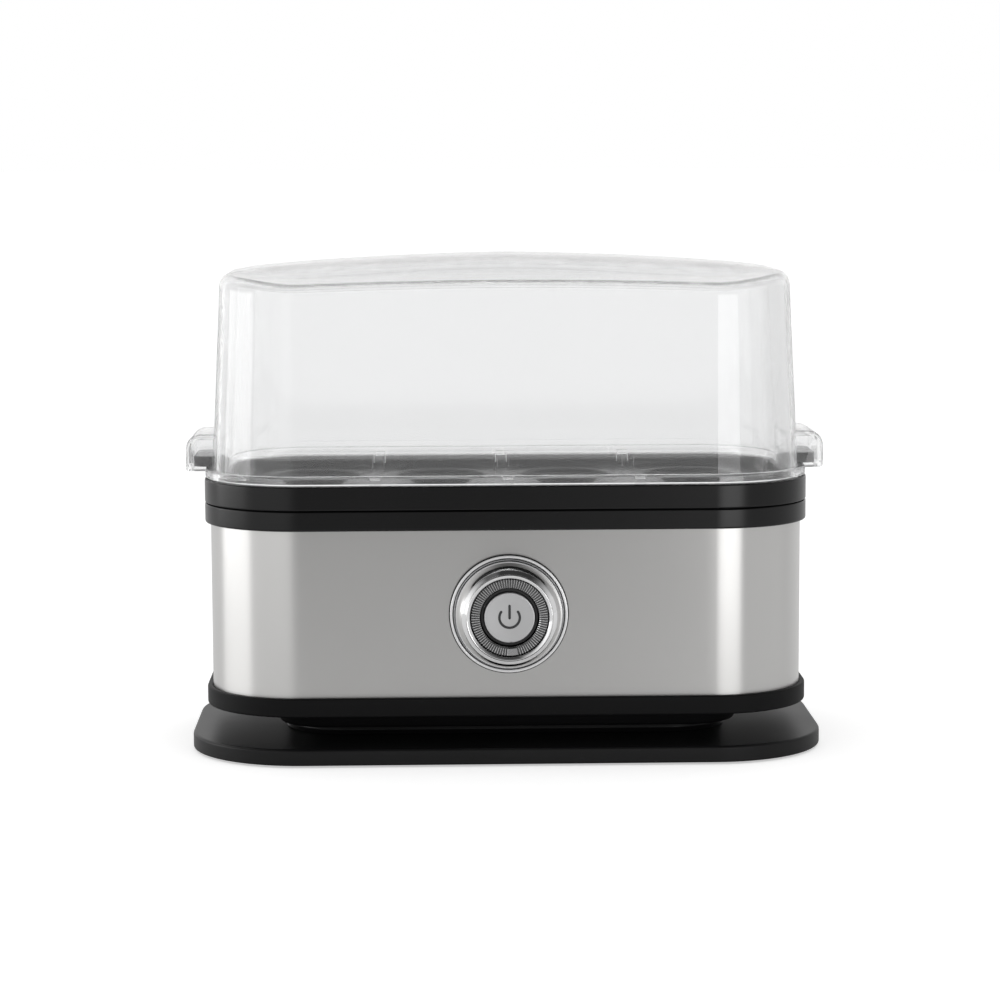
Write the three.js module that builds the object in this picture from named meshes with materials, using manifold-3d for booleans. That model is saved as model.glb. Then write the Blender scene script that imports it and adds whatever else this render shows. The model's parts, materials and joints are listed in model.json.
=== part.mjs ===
// A countertop electric egg boiler, in millimetres, with +Z up and its front towards -Y.
// The origin is on the surface it stands on, below the middle of its overall box.
import * as THREE from 'three';
import { mergeVertices } from 'three/addons/utils/BufferGeometryUtils.js';
import Module from 'manifold-3d';

const wasm = await Module();
wasm.setup();

// Outline of the body, shared by its black rings and by the egg rack's rim
const bodyWidth = 219;
const bodyDepth = 112.2;
const bodyCorner = 36;

// Clearances, wall sizes and cuts shared by several pieces
const seatGap = 0.25;
const runningGap = 0.3;
const overrun = 1;
const clip = 0.01;

// Base plate with its neck
const baseOverhang = 5.5;
const footProud = 0.8;
const plateThick = 5.85;
const plateSkin = 2.5;
const plateWall = 2.6;
const plateEdge = 0.8;
const neckEndInset = 29.5;
const neckSideInset = 24.1;
const neckCorner = 22;
const neckWall = 2.5;
const shadowGap = 5;

// Rubber feet
const footRadius = 7.45;
const footEndInset = 17.5;
const footSideInset = 16.1;
const footSeatDepth = 1.6;
const footBossWall = 1.3;
const footStemRadius = 2;
const footStemTall = 1.5;
const footChamfer = 0.8;

// Bottom pan with the lower black ring and the narrower well under it
const wellEndInset = 24.8;
const wellSideInset = 7;
const wellCorner = 20;
const wellDraft = 2.2;
const wellTall = 5.4;
const panWall = 2.5;
const panFloor = 2.5;
const bezelTall = 6.75;
const bezelEdge = 0.7;

// Steel sleeve and the grooves that hold it
const sleeveInset = 2.05;
const sleeveThick = 0.8;
const steelTall = 59.9;
const sleeveSink = 1.7;

// Top collar
const collarTall = 7;
const collarEdge = 1.4;
const collarWall = 3.7;
const collarGroove = 1.5;
const deckThick = 2;
const collarRib = 2;
const collarRibTall = 3;

// Water bowl
const bowlEndInset = 14;
const bowlSideGap = 1.4;
const bowlCorner = 28;
const bowlFlange = 7.5;
const bowlSheet = 1.2;
const bowlTall = 18;
const bowlTaper = 6;
const gasketThick = 1.2;
const gasketInset = 0.8;
const studRadius = 2;
const studTall = 9;

// Screws: shank radius, head radius and head height of each kind
const bowlScrew = { shank: 1.45, head: 2.8, headTall: 1.6, length: 8 };
const bodyScrew = { shank: 1.5, head: 3.4, headTall: 2, length: 16 };
const baseScrew = { shank: 1.5, head: 3.4, headTall: 2, length: 10.5 };
const boardScrew = { shank: 1.1, head: 2.2, headTall: 1.3, length: 3.4 };
const clampScrew = { shank: 1.1, head: 2.2, headTall: 1.3, length: 8 };
const screwGap = 0.3;
const bossWall = 1.6;
const bowlScrewInset = 3.2;
const bowlBossTall = 6;
const bodyScrewEndInset = 20;
const bodyScrewSideInset = 19.6;
const postRadius = 4;
const postHoleDeep = 12;
const bodyBossTall = 7.15;
const baseScrewEndInset = 20;
const baseScrewSideInset = 14;

// Heat plate, heater, cut-outs
const heatPlateInset = 7;
const heatPlateCorner = 15;
const heatPlateThick = 3;
const heaterRadius = 3.25;
const heaterEdge = 1.5;
const heaterEndX = 14;
const heaterDropRadius = 6;
const heaterDrop = 8;
const nutRadius = 3.9;
const nutTall = 3;
const thermostatRadius = 8;
const thermostatTall = 7;
const clipWidth = 10;
const clipThick = 1.2;
const clipEnd = 5;
const clipSlope = 4;
const clipMargin = 3;
const fuseRadius = 2;
const fuseLong = 11;

// Egg rack
const rimGap = 0.35;
const rimTall = 8.55;
const rimWall = 2.2;
const rimSkin = 2;
const rimEdge = 0.6;
const trayWall = 2;
const skirtGap = 0.5;
const trayDeep = 4;
const trayThick = 2;
const skirtDrop = 2.1;
const eggColumns = 4;
const eggRows = 2;
const eggEndMargin = 15.5;
const eggSideMargin = 7.1;
const eggHoleRadius = 16.5;
const eggDish = 2;
const ribPairGap = 5.2;
const ribWide = 1;
const ribDeep = 1;
const tabReach = 4.7;
const tabWide = 26;
const tabThick = 3.8;
const tabRise = 6.8;
const tabCorner = 4;
const riserGap = 0.7;

// Clear lid
const lidGap = 0.35;
const lidFlangeInset = 0.3;
const lidFlangeTall = 3.1;
const lidWallInset = 3;
const lidSheet = 2;
const lidTall = 72.6;
const lidDraft = 3.3;
const lidShoulder = 5;
const lidArch = 2.6;
const lidCrown = 7.5;
const lidEndCrown = 4.5;
const lidCrownPower = 1.66;
const lidDepthPower = 4.5;
const hoodEndGap = 0.5;
const hoodRoom = 6.3;
const hoodSideGap = 1;
const hoodRound = 5.5;
const hoodLift = 1.2;

// Dial: each reach is measured out from the sleeve's front face
const throatRadius = 10.5;
const knobFlare = 6.55;
const knobReach = 10.8;
const knobLip = 1.2;
const knobRimWide = 1;
const knobRimRound = 0.4;
const knobSweepPower = 0.88;
const knobShell = 2;
const knobBack = 0.5;
const knobWebReach = 7.8;
const knobWeb = 1.8;
const tickRingWide = 3.1;
const tickRingGap = 0.2;
const tickRingThick = 1.65;
const hubWall = 1.2;
const hubFlangeWide = 1.3;
const hubFlangeThick = 1.6;
const hubTail = 16;
const bearingWall = 1.6;
const bearingFlangeWide = 3.4;
const bearingFlangeThick = 1.5;
const bearingTail = 9;
const bearingNutWide = 3.65;
const bearingNutThick = 3;

// Button, its guide, spring and switch
const buttonReach = 9.5;
const buttonCap = 2.2;
const buttonSkirt = 3;
const buttonSkirtWall = 1.1;
const buttonTravel = 1.5;
const buttonDish = 0.35;
const stemRadius = 2.5;
const stemEnd = 8;
const guideWall = 0.8;
const guideGap = 0.45;
const guideReach = 7.6;
const guideStop = 2;
const guideStopThick = 2;
const springRadius = 4.2;
const springWire = 1;
const plungerRadius = 1.6;
const switchWide = 6.4;
const switchTall = 4.2;
const switchBoreDeep = 3;

// Control board and what stands on it
const boardBack = 19;
const boardThick = 1.6;
const boardWide = 74;
const boardBelowDial = 27.75;
const boardAboveDial = 13.25;
const potWall = 2;
const potThick = 6.2;
const bracketThick = 2;
const bracketFoot = 16;
const bracketWindowWide = 50;
const bracketWindowLow = 6;
const bracketWindowTall = 24;
const boardScrewInset = 4;
const relayWide = 19;
const relayTall = 15;
const relayDeep = 15;
const relayX = 8;
const capacitorRadius = 5;
const capacitorLong = 12;
const capacitorX = -12;
const boardPartDrop = 13.75;

// Mains entry at the back
const glandFromEnd = 49.5;
const glandRise = 10.2;
const glandBore = 3.3;
const glandNeck = 5.1;
const glandFlange = 7.4;
const glandFlangeThick = 2.5;
const glandCollar = 6.4;
const glandCollarThick = 1.6;
const clampFromRear = 12;
const clampSpacing = 17;
const clampPostRadius = 3;
const clampLift = 3.3;
const clampTall = 4;
const clampDeep = 6;
const saddleDrop = 3.3;
const blockWide = 26;
const blockDeep = 13;
const blockTall = 11;
const blockFromClamp = 12.5;
const blockHole = 2;

// Wires inside the body
const wireRadius = 1.1;

// Fineness of the faceted surfaces
const cornerSteps = 8;
const fineTurn = 40;
const coarseTurn = 16;
const screwTurn = 12;
const nutTurn = 24;
const wireTurn = 8;
const wireSteps = 24;
const heaterSteps = 64;

// Levels, from the surface up
const plateTop = footProud + plateThick;
const panBottom = plateTop + shadowGap;
const panFloorTop = panBottom + panFloor;
const bezelBottom = panBottom + wellTall;
const shelfTop = bezelBottom + panFloor;
const bodyBossTop = bezelBottom + bodyBossTall;
const bezelTop = bezelBottom + bezelTall;
const collarBottom = bezelTop + steelTall;
const collarTop = collarBottom + collarTall;
const deckBottom = collarBottom + collarGroove;
const deckTop = deckBottom + deckThick;
const gasketBottom = deckTop + seatGap;
const flangeBottom = gasketBottom + gasketThick + seatGap;
const flangeTop = flangeBottom + bowlSheet;
const bowlBottom = flangeTop - bowlTall - bowlSheet;
const heatPlateTop = bowlBottom - seatGap;
const heatPlateBottom = heatPlateTop - heatPlateThick;
const thermostatTop = heatPlateBottom - seatGap;
const thermostatBottom = thermostatTop - thermostatTall;
const baseScrewSeat = panBottom - 2 * seatGap - neckWall;
const rimBottom = collarTop + rimGap;
const rackTop = rimBottom + rimTall;
const trayTop = rackTop - trayDeep;
const tabTop = rackTop + tabRise;
const lidBottom = rackTop + lidGap;
const lidTop = lidBottom + lidTall;
const dialZ = bezelTop + steelTall / 2;

// Places along the depth
const sleeveFront = -(bodyDepth / 2 - sleeveInset);
const sleeveRear = -sleeveFront;
const baseDepth = bodyDepth + 2 * baseOverhang;
const centring = (knobReach - sleeveFront - baseDepth / 2) / 2;
const neckWidth = bodyWidth - 2 * neckEndInset;
const neckDepth = bodyDepth - 2 * neckSideInset;
const wellWidth = bodyWidth - 2 * wellEndInset;
const wellDepth = bodyDepth - 2 * wellSideInset;
const footX = bodyWidth / 2 - footEndInset;
const footY = bodyDepth / 2 - footSideInset;
const bodyScrewX = bodyWidth / 2 - bodyScrewEndInset;
const bodyScrewY = bodyDepth / 2 - bodyScrewSideInset;
const baseScrewX = neckWidth / 2 - baseScrewEndInset;
const baseScrewY = neckDepth / 2 - baseScrewSideInset;

// Rack and lid
const trayInset = collarWall + skirtGap + trayWall;
const eggPitchX = (bodyWidth - 2 * eggEndMargin) / eggColumns;
const eggPitchY = (bodyDepth - 2 * eggSideMargin) / eggRows;
const riserThick = lidWallInset - riserGap;
const hoodReach = tabReach + hoodEndGap + lidSheet;
const hoodTall = tabRise - lidGap + hoodRoom + lidSheet;
const hoodWide = tabWide + 2 * (hoodSideGap + lidSheet);

// Bowl and what hangs under it
const bowlWidth = bodyWidth - 2 * (bowlEndInset + bowlFlange);
const bowlDepth = bodyDepth - 2 * (trayInset + bowlSideGap + bowlFlange);
const heatPlateWidth = bowlWidth - 2 * (bowlTaper + heatPlateInset);
const heatPlateDepth = bowlDepth - 2 * (bowlTaper + heatPlateInset);
const heaterReach = heatPlateWidth / 2 - heaterEdge - heaterRadius;
const heaterBend = heatPlateDepth / 2 - heaterEdge - heaterRadius;
const studX = heaterReach - heaterBend;
const clipMiddle = thermostatRadius + clipMargin;
const fuseX = (thermostatRadius + studX - nutRadius) / 2;
const fuseY = clipWidth / 2 + fuseRadius + seatGap;

// Dial and button
const tickRingRadius = throatRadius + tickRingWide;
const knobRimRadius = tickRingRadius + tickRingGap + knobRimWide;
const knobRadius = knobRimRadius + knobFlare;
const hubRadius = throatRadius + hubWall;
const bearingBore = hubRadius + runningGap;
const bearingRadius = bearingBore + bearingWall;
const buttonRadius = throatRadius - guideGap - guideWall - runningGap;

// Control board and mains entry
const boardBottom = dialZ - boardBelowDial;
const boardTop = dialZ + boardAboveDial;
const boardPartZ = dialZ - boardPartDrop;
const glandX = bodyWidth / 2 - glandFromEnd;
const glandZ = bezelTop + glandRise;
const clampY = sleeveRear - clampFromRear;
const blockY = clampY - blockFromClamp;

const body = { width: bodyWidth, depth: bodyDepth, corner: bodyCorner };
const bowlMouth = { width: bowlWidth, depth: bowlDepth, corner: bowlCorner };
const bowlRim = inset(bowlMouth, -bowlFlange);

const finishes = {
  blackPlastic: { color: 0x1b1b1c, roughness: 0.42, metalness: 0 },
  clearPlastic: { color: 0xf2f4f5, roughness: 0.06, metalness: 0, transparent: true, opacity: 0.3 },
  steel: { color: 0xb9babb, roughness: 0.3, metalness: 1 },
  chrome: { color: 0xd8d9db, roughness: 0.08, metalness: 1 },
  satinSilver: { color: 0xb4b4b6, roughness: 0.38, metalness: 0.9 },
  aluminium: { color: 0xa9abad, roughness: 0.45, metalness: 1 },
  zincSteel: { color: 0x9a9b9d, roughness: 0.4, metalness: 1 },
  rubber: { color: 0x2a2a2b, roughness: 0.85, metalness: 0 },
  silicone: { color: 0xc9cacb, roughness: 0.7, metalness: 0 },
  board: { color: 0x2f6a3a, roughness: 0.5, metalness: 0 },
  component: { color: 0x24364f, roughness: 0.5, metalness: 0 },
  nylon: { color: 0xe6e3da, roughness: 0.5, metalness: 0 },
  wire: { color: 0x8c2f26, roughness: 0.6, metalness: 0 },
};

// An outline drawn in on every side, or out with a negative amount
function inset(outline, amount) {
  return {
    width: outline.width - 2 * amount,
    depth: outline.depth - 2 * amount,
    corner: outline.corner - amount,
  };
}

// Corner-rounded rectangle, counter-clockwise seen from above; sideSteps divides its long sides
function outlinePoints({ width, depth, corner }, sideSteps = 1) {
  const points = [];
  const quarters = [[1, 1], [-1, 1], [-1, -1], [1, -1]];
  quarters.forEach(([signX, signY], quarter) => {
    for (let step = 0; step <= cornerSteps; step += 1) {
      const angle = (quarter + step / cornerSteps) * Math.PI / 2;
      const x = signX * (width / 2 - corner) + corner * Math.cos(angle);
      const y = signY * (depth / 2 - corner) + corner * Math.sin(angle);
      points.push(new THREE.Vector2(x, y));
    }
    const runs = quarter % 2 === 0 ? sideSteps : 1;
    for (let step = 1; step < runs; step += 1) {
      const last = signX * (width / 2 - corner);
      points.push(new THREE.Vector2(last * (1 - 2 * step / runs), signY * depth / 2));
    }
  });
  return points;
}

function ringAt(outline, z, sideSteps = 1) {
  return outlinePoints(outline, sideSteps).map((point) => new THREE.Vector3(point.x, point.y, z));
}

// Skin through rings of equal count, in the order outside upwards, then inside downwards.
// A loop joins the last ring to the first; otherwise both end rings are closed with a fan.
function skin(rings, loop) {
  const count = rings[0].length;
  const positions = rings.flat().flatMap((point) => [point.x, point.y, point.z]);
  const faces = [];
  const spans = loop ? rings.length : rings.length - 1;
  for (let level = 0; level < spans; level += 1) {
    const low = level * count;
    const high = ((level + 1) % rings.length) * count;
    for (let side = 0; side < count; side += 1) {
      const next = (side + 1) % count;
      faces.push(low + side, low + next, high + next, low + side, high + next, high + side);
    }
  }
  if (!loop) {
    [[0, true], [rings.length - 1, false]].forEach(([level, first]) => {
      const centre = new THREE.Vector3();
      rings[level].forEach((point) => centre.add(point));
      centre.divideScalar(count);
      const hub = positions.length / 3;
      positions.push(centre.x, centre.y, centre.z);
      for (let side = 0; side < count; side += 1) {
        const here = level * count + side;
        const next = level * count + (side + 1) % count;
        faces.push(hub, first ? next : here, first ? here : next);
      }
    });
  }
  const geometry = new THREE.BufferGeometry();
  geometry.setAttribute('position', new THREE.Float32BufferAttribute(positions, 3));
  geometry.setIndex(faces);
  return geometry;
}

// Ring-shaped solid whose section is a list of [inset, z] pairs round an outline
function band(outline, section) {
  return skin(section.map(([amount, z]) => ringAt(inset(outline, amount), z)), true);
}

// Solid or cup whose side is a list of [inset, z] pairs, closed flat at both ends
function cup(outline, section) {
  return skin(section.map(([amount, z]) => ringAt(inset(outline, amount), z)), false);
}

function slab(outline, low, high) {
  return cup(outline, [[0, low], [0, high]]);
}

function box(width, depth, height, x, y, z) {
  return new THREE.BoxGeometry(width, depth, height).translate(x, y, z);
}

// Box given by its limits along each axis
function span(x0, x1, y0, y1, z0, z1) {
  return box(x1 - x0, y1 - y0, z1 - z0, (x0 + x1) / 2, (y0 + y1) / 2, (z0 + z1) / 2);
}

// Turned solid about a vertical line, from [radius, z] pairs
function turned(profile, x, y, sides) {
  const points = profile.map(([radius, z]) => new THREE.Vector2(radius, z));
  return new THREE.LatheGeometry(points, sides).rotateX(Math.PI / 2).translate(x, y, 0);
}

function rod(radius, low, high, x, y, sides = coarseTurn) {
  return turned([[0, low], [radius, low], [radius, high], [0, high]], x, y, sides);
}

// Turned solid about the dial's axis, from [radius, reach] pairs, with the reach out of the front
function dialTurned(profile, sides) {
  const points = profile.map(([radius, reach]) => new THREE.Vector2(radius, sleeveFront - reach));
  return new THREE.LatheGeometry(points, sides).translate(0, 0, dialZ);
}

function dialRod(radius, reach0, reach1, sides = fineTurn) {
  return dialTurned([[0, reach0], [radius, reach0], [radius, reach1], [0, reach1]], sides);
}

function circleShape(radius, sides) {
  const points = [];
  for (let side = 0; side < sides; side += 1) {
    const angle = side / sides * 2 * Math.PI;
    points.push(new THREE.Vector2(radius * Math.cos(angle), radius * Math.sin(angle)));
  }
  return new THREE.Shape(points);
}

function tube(curve, radius, sides, steps) {
  return new THREE.ExtrudeGeometry(circleShape(radius, sides), { steps, extrudePath: curve });
}

// Flat outline in the X-Z plane, given as [x, z] pairs, run along Y between two places
function alongDepth(outline, y0, y1) {
  const shape = new THREE.Shape(outline.map(([x, z]) => new THREE.Vector2(x, z)));
  const geometry = new THREE.ExtrudeGeometry(shape, { depth: y1 - y0, bevelEnabled: false });
  return geometry.rotateX(Math.PI / 2).translate(0, y1, 0);
}

// Welds shared corners, drops faces without area and turns the faces outwards
function welded(geometry) {
  const bare = geometry.clone();
  Object.keys(bare.attributes).filter((name) => name !== 'position').forEach((name) => {
    bare.deleteAttribute(name);
  });
  const merged = mergeVertices(bare, 1e-4);
  const index = merged.index.array;
  const at = (corner) => new THREE.Vector3().fromBufferAttribute(merged.attributes.position, corner);
  const faces = [];
  let volume = 0;
  for (let face = 0; face < index.length; face += 3) {
    const [a, b, c] = [index[face], index[face + 1], index[face + 2]];
    if (a !== b && b !== c && c !== a) {
      faces.push([a, b, c]);
      volume += at(a).dot(at(b).cross(at(c)));
    }
  }
  merged.setIndex(faces.flatMap(([a, b, c]) => (volume < 0 ? [a, c, b] : [a, b, c])));
  return merged;
}

function toSolid(geometry) {
  const mesh = welded(geometry);
  const vertProperties = new Float32Array(mesh.attributes.position.array);
  const triVerts = new Uint32Array(mesh.index.array);
  return new wasm.Manifold(new wasm.Mesh({ numProp: 3, vertProperties, triVerts }));
}

function fromSolid(solid) {
  const mesh = solid.getMesh();
  const geometry = new THREE.BufferGeometry();
  geometry.setAttribute('position', new THREE.BufferAttribute(mesh.vertProperties.slice(), 3));
  geometry.setIndex(Array.from(mesh.triVerts));
  return geometry;
}

function join(...geometries) {
  return fromSolid(geometries.map(toSolid).reduce((sum, solid) => sum.add(solid)));
}

function cut(geometry, ...tools) {
  return fromSolid(tools.map(toSolid).reduce((rest, tool) => rest.subtract(tool), toSolid(geometry)));
}

const product = new THREE.Group();
product.position.y = centring;

function add(name, geometry, finish, parent = product) {
  const mesh = new THREE.Mesh(welded(geometry), new THREE.MeshStandardMaterial(finishes[finish]));
  mesh.name = name;
  parent.add(mesh);
  return mesh;
}

// The four places at plus and minus x and y
function corners(x, y) {
  return [[-x, -y], [x, -y], [x, y], [-x, y]];
}

// A screw with its head at one end; head below when the screw goes upwards
function screwUp(size, seat, x, y) {
  const tip = seat + size.length;
  const low = seat - size.headTall;
  return turned([
    [0, low], [size.head, low], [size.head, seat], [size.shank, seat], [size.shank, tip], [0, tip],
  ], x, y, screwTurn);
}

function screwDown(size, seat, x, y) {
  const tip = seat - size.length;
  const high = seat + size.headTall;
  return turned([
    [0, tip], [size.shank, tip], [size.shank, seat], [size.head, seat], [size.head, high], [0, high],
  ], x, y, screwTurn);
}

// Base plate: a shallow moulding, open below, with a neck and four foot seats
function basePlate() {
  const outline = inset(body, -baseOverhang);
  const plate = cup(outline, [
    [plateEdge, footProud], [0, footProud + plateEdge],
    [0, plateTop - plateEdge], [plateEdge, plateTop],
  ]);
  const neckOutline = { width: neckWidth, depth: neckDepth, corner: neckCorner };
  const neckTop = panBottom - seatGap;
  const neck = slab(neckOutline, plateTop - plateSkin, neckTop);
  const pocket = slab(inset(outline, plateWall), footProud - overrun, plateTop - plateSkin);
  const neckPocket = slab(inset(neckOutline, neckWall), footProud - overrun, neckTop - neckWall);
  const hollow = cut(join(plate, neck), pocket, neckPocket);
  const bossRadius = footRadius + runningGap + footBossWall;
  const seats = corners(footX, footY).map(([x, y]) => (
    rod(bossRadius, footProud, plateTop - plateSkin / 2, x, y, coarseTurn)));
  const recesses = corners(footX, footY).flatMap(([x, y]) => [
    rod(footRadius + runningGap, footProud - overrun, footProud + footSeatDepth, x, y, coarseTurn),
    rod(footStemRadius + runningGap, footProud, footProud + footSeatDepth + footStemTall, x, y, screwTurn),
  ]);
  const screwHoles = corners(baseScrewX, baseScrewY).map(([x, y]) => (
    rod(baseScrew.shank + screwGap, footProud, neckTop + overrun, x, y, screwTurn)));
  return cut(join(hollow, ...seats), ...recesses, ...screwHoles);
}

function foot(x, y) {
  const seat = footProud + footSeatDepth - seatGap;
  return turned([
    [0, 0], [footRadius - footChamfer, 0], [footRadius, footChamfer], [footRadius, seat],
    [footStemRadius, seat], [footStemRadius, seat + footStemTall], [0, seat + footStemTall],
  ], x, y, coarseTurn);
}

// Bottom pan: the lower black ring, its shelf and well, the sleeve's groove, bosses and the cord saddle
function bottomPan() {
  const rimInner = sleeveInset + sleeveThick + runningGap + panWall;
  const dish = cup(body, [
    [bezelEdge, bezelBottom], [0, bezelBottom + bezelEdge],
    [0, bezelTop], [rimInner, bezelTop], [rimInner, shelfTop],
  ]);
  const wellOutline = { width: wellWidth, depth: wellDepth, corner: wellCorner };
  const well = cup(wellOutline, [
    [wellDraft, panBottom], [0, bezelBottom], [0, bezelBottom + panFloor / 2],
  ]);
  const hollow = cup(inset(wellOutline, panWall), [
    [wellDraft, panFloorTop], [0, shelfTop], [0, shelfTop + overrun],
  ]);
  const shell = cut(join(dish, well), hollow);
  const grooveBottom = bezelTop - sleeveSink - seatGap;
  const groove = band(body, [
    [sleeveInset - runningGap, grooveBottom], [sleeveInset - runningGap, bezelTop + overrun],
    [sleeveInset + sleeveThick + runningGap, bezelTop + overrun],
    [sleeveInset + sleeveThick + runningGap, grooveBottom],
  ]);
  const bodyBossRadius = bodyScrew.shank + screwGap + bossWall;
  const bodyBosses = corners(bodyScrewX, bodyScrewY).map(([x, y]) => (
    rod(bodyBossRadius, bezelBottom + panFloor / 2, bodyBossTop, x, y)));
  const baseBossTop = panBottom + baseScrew.length + overrun;
  const baseBosses = corners(baseScrewX, baseScrewY).map(([x, y]) => (
    rod(baseScrew.shank + screwGap + bossWall, panBottom + panFloor / 2, baseBossTop, x, y)));
  const clampPosts = [-1, 1].map((side) => rod(clampPostRadius, panBottom + panFloor / 2,
    glandZ + clampLift - seatGap, glandX + side * clampSpacing / 2, clampY));
  const saddle = span(glandX - clampSpacing / 2, glandX + clampSpacing / 2, clampY - clampPostRadius / 2,
    clampY + clampPostRadius / 2, panBottom + panFloor / 2, glandZ - saddleDrop);
  const counterbores = corners(bodyScrewX, bodyScrewY).map(([x, y]) => rod(bodyScrew.head + screwGap,
    bezelBottom - overrun, bezelBottom + seatGap + bodyScrew.headTall, x, y));
  const bodyHoles = corners(bodyScrewX, bodyScrewY).map(([x, y]) => (
    rod(bodyScrew.shank + screwGap, bezelBottom, bodyBossTop + overrun, x, y, screwTurn)));
  const baseHoles = corners(baseScrewX, baseScrewY).map(([x, y]) => (
    rod(baseScrew.shank + screwGap, panBottom - overrun, panBottom + baseScrew.length - bossWall, x, y,
      screwTurn)));
  const clampHoles = [-1, 1].map((side) => rod(clampScrew.shank + screwGap,
    glandZ + clampLift + clampTall - clampScrew.length - overrun, glandZ + clampLift + overrun,
    glandX + side * clampSpacing / 2, clampY, screwTurn));
  return cut(join(shell, ...bodyBosses, ...baseBosses, ...clampPosts, saddle),
    groove, ...counterbores, ...bodyHoles, ...baseHoles, ...clampHoles);
}

// Steel sleeve with its hole for the dial and its hole for the cord's gland
function steelSleeve() {
  const low = bezelTop - sleeveSink;
  const high = collarBottom + collarGroove - seatGap;
  const outer = sleeveInset;
  const inner = sleeveInset + sleeveThick;
  const wall = band(body, [[outer, low], [outer, high], [inner, high], [inner, low]]);
  const dialHole = dialRod(bearingRadius + runningGap, -sleeveThick - overrun, overrun);
  const glandHole = glandTurned([
    [0, -sleeveThick - overrun], [glandNeck + runningGap, -sleeveThick - overrun],
    [glandNeck + runningGap, overrun], [0, overrun],
  ]);
  return cut(wall, dialHole, glandHole);
}

// Turned solid about the gland's axis, from [radius, reach] pairs, with the reach out of the back
function glandTurned(profile) {
  const points = profile.map(([radius, reach]) => new THREE.Vector2(radius, sleeveRear + reach));
  return new THREE.LatheGeometry(points, coarseTurn).translate(glandX, 0, glandZ);
}

function cordGland() {
  const collarReach = -sleeveThick - seatGap;
  return glandTurned([
    [glandBore, glandFlangeThick + seatGap], [glandFlange - footChamfer, glandFlangeThick + seatGap],
    [glandFlange, glandFlangeThick + seatGap - footChamfer], [glandFlange, seatGap], [glandNeck, seatGap],
    [glandNeck, collarReach], [glandCollar, collarReach], [glandNeck, collarReach - glandCollarThick],
    [glandBore, collarReach - glandCollarThick], [glandBore, glandFlangeThick + seatGap],
  ]);
}

function cordClamp() {
  const low = glandZ + clampLift;
  const half = clampSpacing / 2 + clampPostRadius;
  const bar = span(glandX - half, glandX + half, clampY - clampDeep / 2, clampY + clampDeep / 2,
    low, low + clampTall);
  const holes = [-1, 1].map((side) => rod(clampScrew.shank + screwGap, low - overrun,
    low + clampTall + overrun, glandX + side * clampSpacing / 2, clampY, screwTurn));
  return cut(bar, ...holes);
}

// Top collar: the lower ring of the two above the sleeve, with the deck that carries the bowl
function topCollar() {
  const ribOuter = sleeveInset + sleeveThick + runningGap;
  const ribInner = ribOuter + collarRib;
  const lipInner = sleeveInset - runningGap;
  const ring = band(body, [
    [collarEdge, collarBottom], [collarEdge / 3, collarBottom + collarEdge / 3],
    [0, collarBottom + collarEdge], [0, collarTop], [collarWall, collarTop],
    [collarWall, deckTop - deckThick / 2], [ribInner, deckTop - deckThick / 2],
    [ribInner, deckBottom - collarRibTall], [ribOuter, deckBottom - collarRibTall],
    [ribOuter, deckBottom], [lipInner, deckBottom], [lipInner, collarBottom],
  ]);
  const deck = slab(inset(body, collarWall - clip), deckBottom, deckTop);
  const opening = slab(inset(bowlMouth, -2 * runningGap), deckBottom - overrun, deckTop + overrun);
  const bowlBosses = bowlScrewPlaces().map(([x, y]) => rod(bowlScrew.shank + screwGap + bossWall,
    deckBottom - bowlBossTall, deckBottom + deckThick / 2, x, y));
  const postBottom = bodyBossTop + seatGap;
  const posts = corners(bodyScrewX, bodyScrewY).map(([x, y]) => (
    rod(postRadius, postBottom, deckBottom + deckThick / 2, x, y)));
  const bowlHoles = bowlScrewPlaces().map(([x, y]) => rod(bowlScrew.shank + screwGap,
    deckBottom - bowlBossTall + bossWall, deckTop + overrun, x, y, screwTurn));
  const postHoles = corners(bodyScrewX, bodyScrewY).map(([x, y]) => (
    rod(bodyScrew.shank + screwGap, postBottom - overrun, postBottom + postHoleDeep, x, y, screwTurn)));
  return cut(join(ring, cut(deck, opening), ...bowlBosses, ...posts), ...bowlHoles, ...postHoles);
}

function bowlScrewPlaces() {
  const x = bowlRim.width / 2 - bowlScrewInset;
  const y = bowlRim.depth / 2 - bowlScrewInset;
  return [[-x, 0], [x, 0], [0, -y], [0, y]];
}

function bowlGasket() {
  const low = gasketBottom;
  const high = gasketBottom + gasketThick;
  const outer = gasketInset;
  const inner = bowlFlange - gasketInset;
  const ring = band(bowlRim, [[outer, low], [outer, high], [inner, high], [inner, low]]);
  const holes = bowlScrewPlaces().map(([x, y]) => (
    rod(bowlScrew.shank + screwGap, low - overrun, high + overrun, x, y, screwTurn)));
  return cut(ring, ...holes);
}

// Water bowl: pressed sheet with a flange, and two studs under it
function waterBowl() {
  const mouth = bowlFlange;
  const foot = bowlFlange + bowlTaper;
  const shell = cup(bowlRim, [
    [foot, bowlBottom], [mouth, flangeBottom], [0, flangeBottom], [0, flangeTop],
    [mouth + bowlSheet, flangeTop], [foot + bowlSheet, bowlBottom + bowlSheet],
  ]);
  const studs = [-1, 1].map((side) => (
    rod(studRadius, bowlBottom - studTall, bowlBottom + bowlSheet / 2, side * studX, 0)));
  const holes = bowlScrewPlaces().map(([x, y]) => (
    rod(bowlScrew.shank + screwGap, flangeBottom - overrun, flangeTop + overrun, x, y, screwTurn)));
  return cut(join(shell, ...studs), ...holes);
}

function heatPlate() {
  const outline = { width: heatPlateWidth, depth: heatPlateDepth, corner: heatPlateCorner };
  const holes = [-1, 1].map((side) => (
    rod(studRadius + screwGap, heatPlateBottom - overrun, heatPlateTop + overrun, side * studX, 0)));
  return cut(slab(outline, heatPlateBottom, heatPlateTop), ...holes);
}

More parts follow.
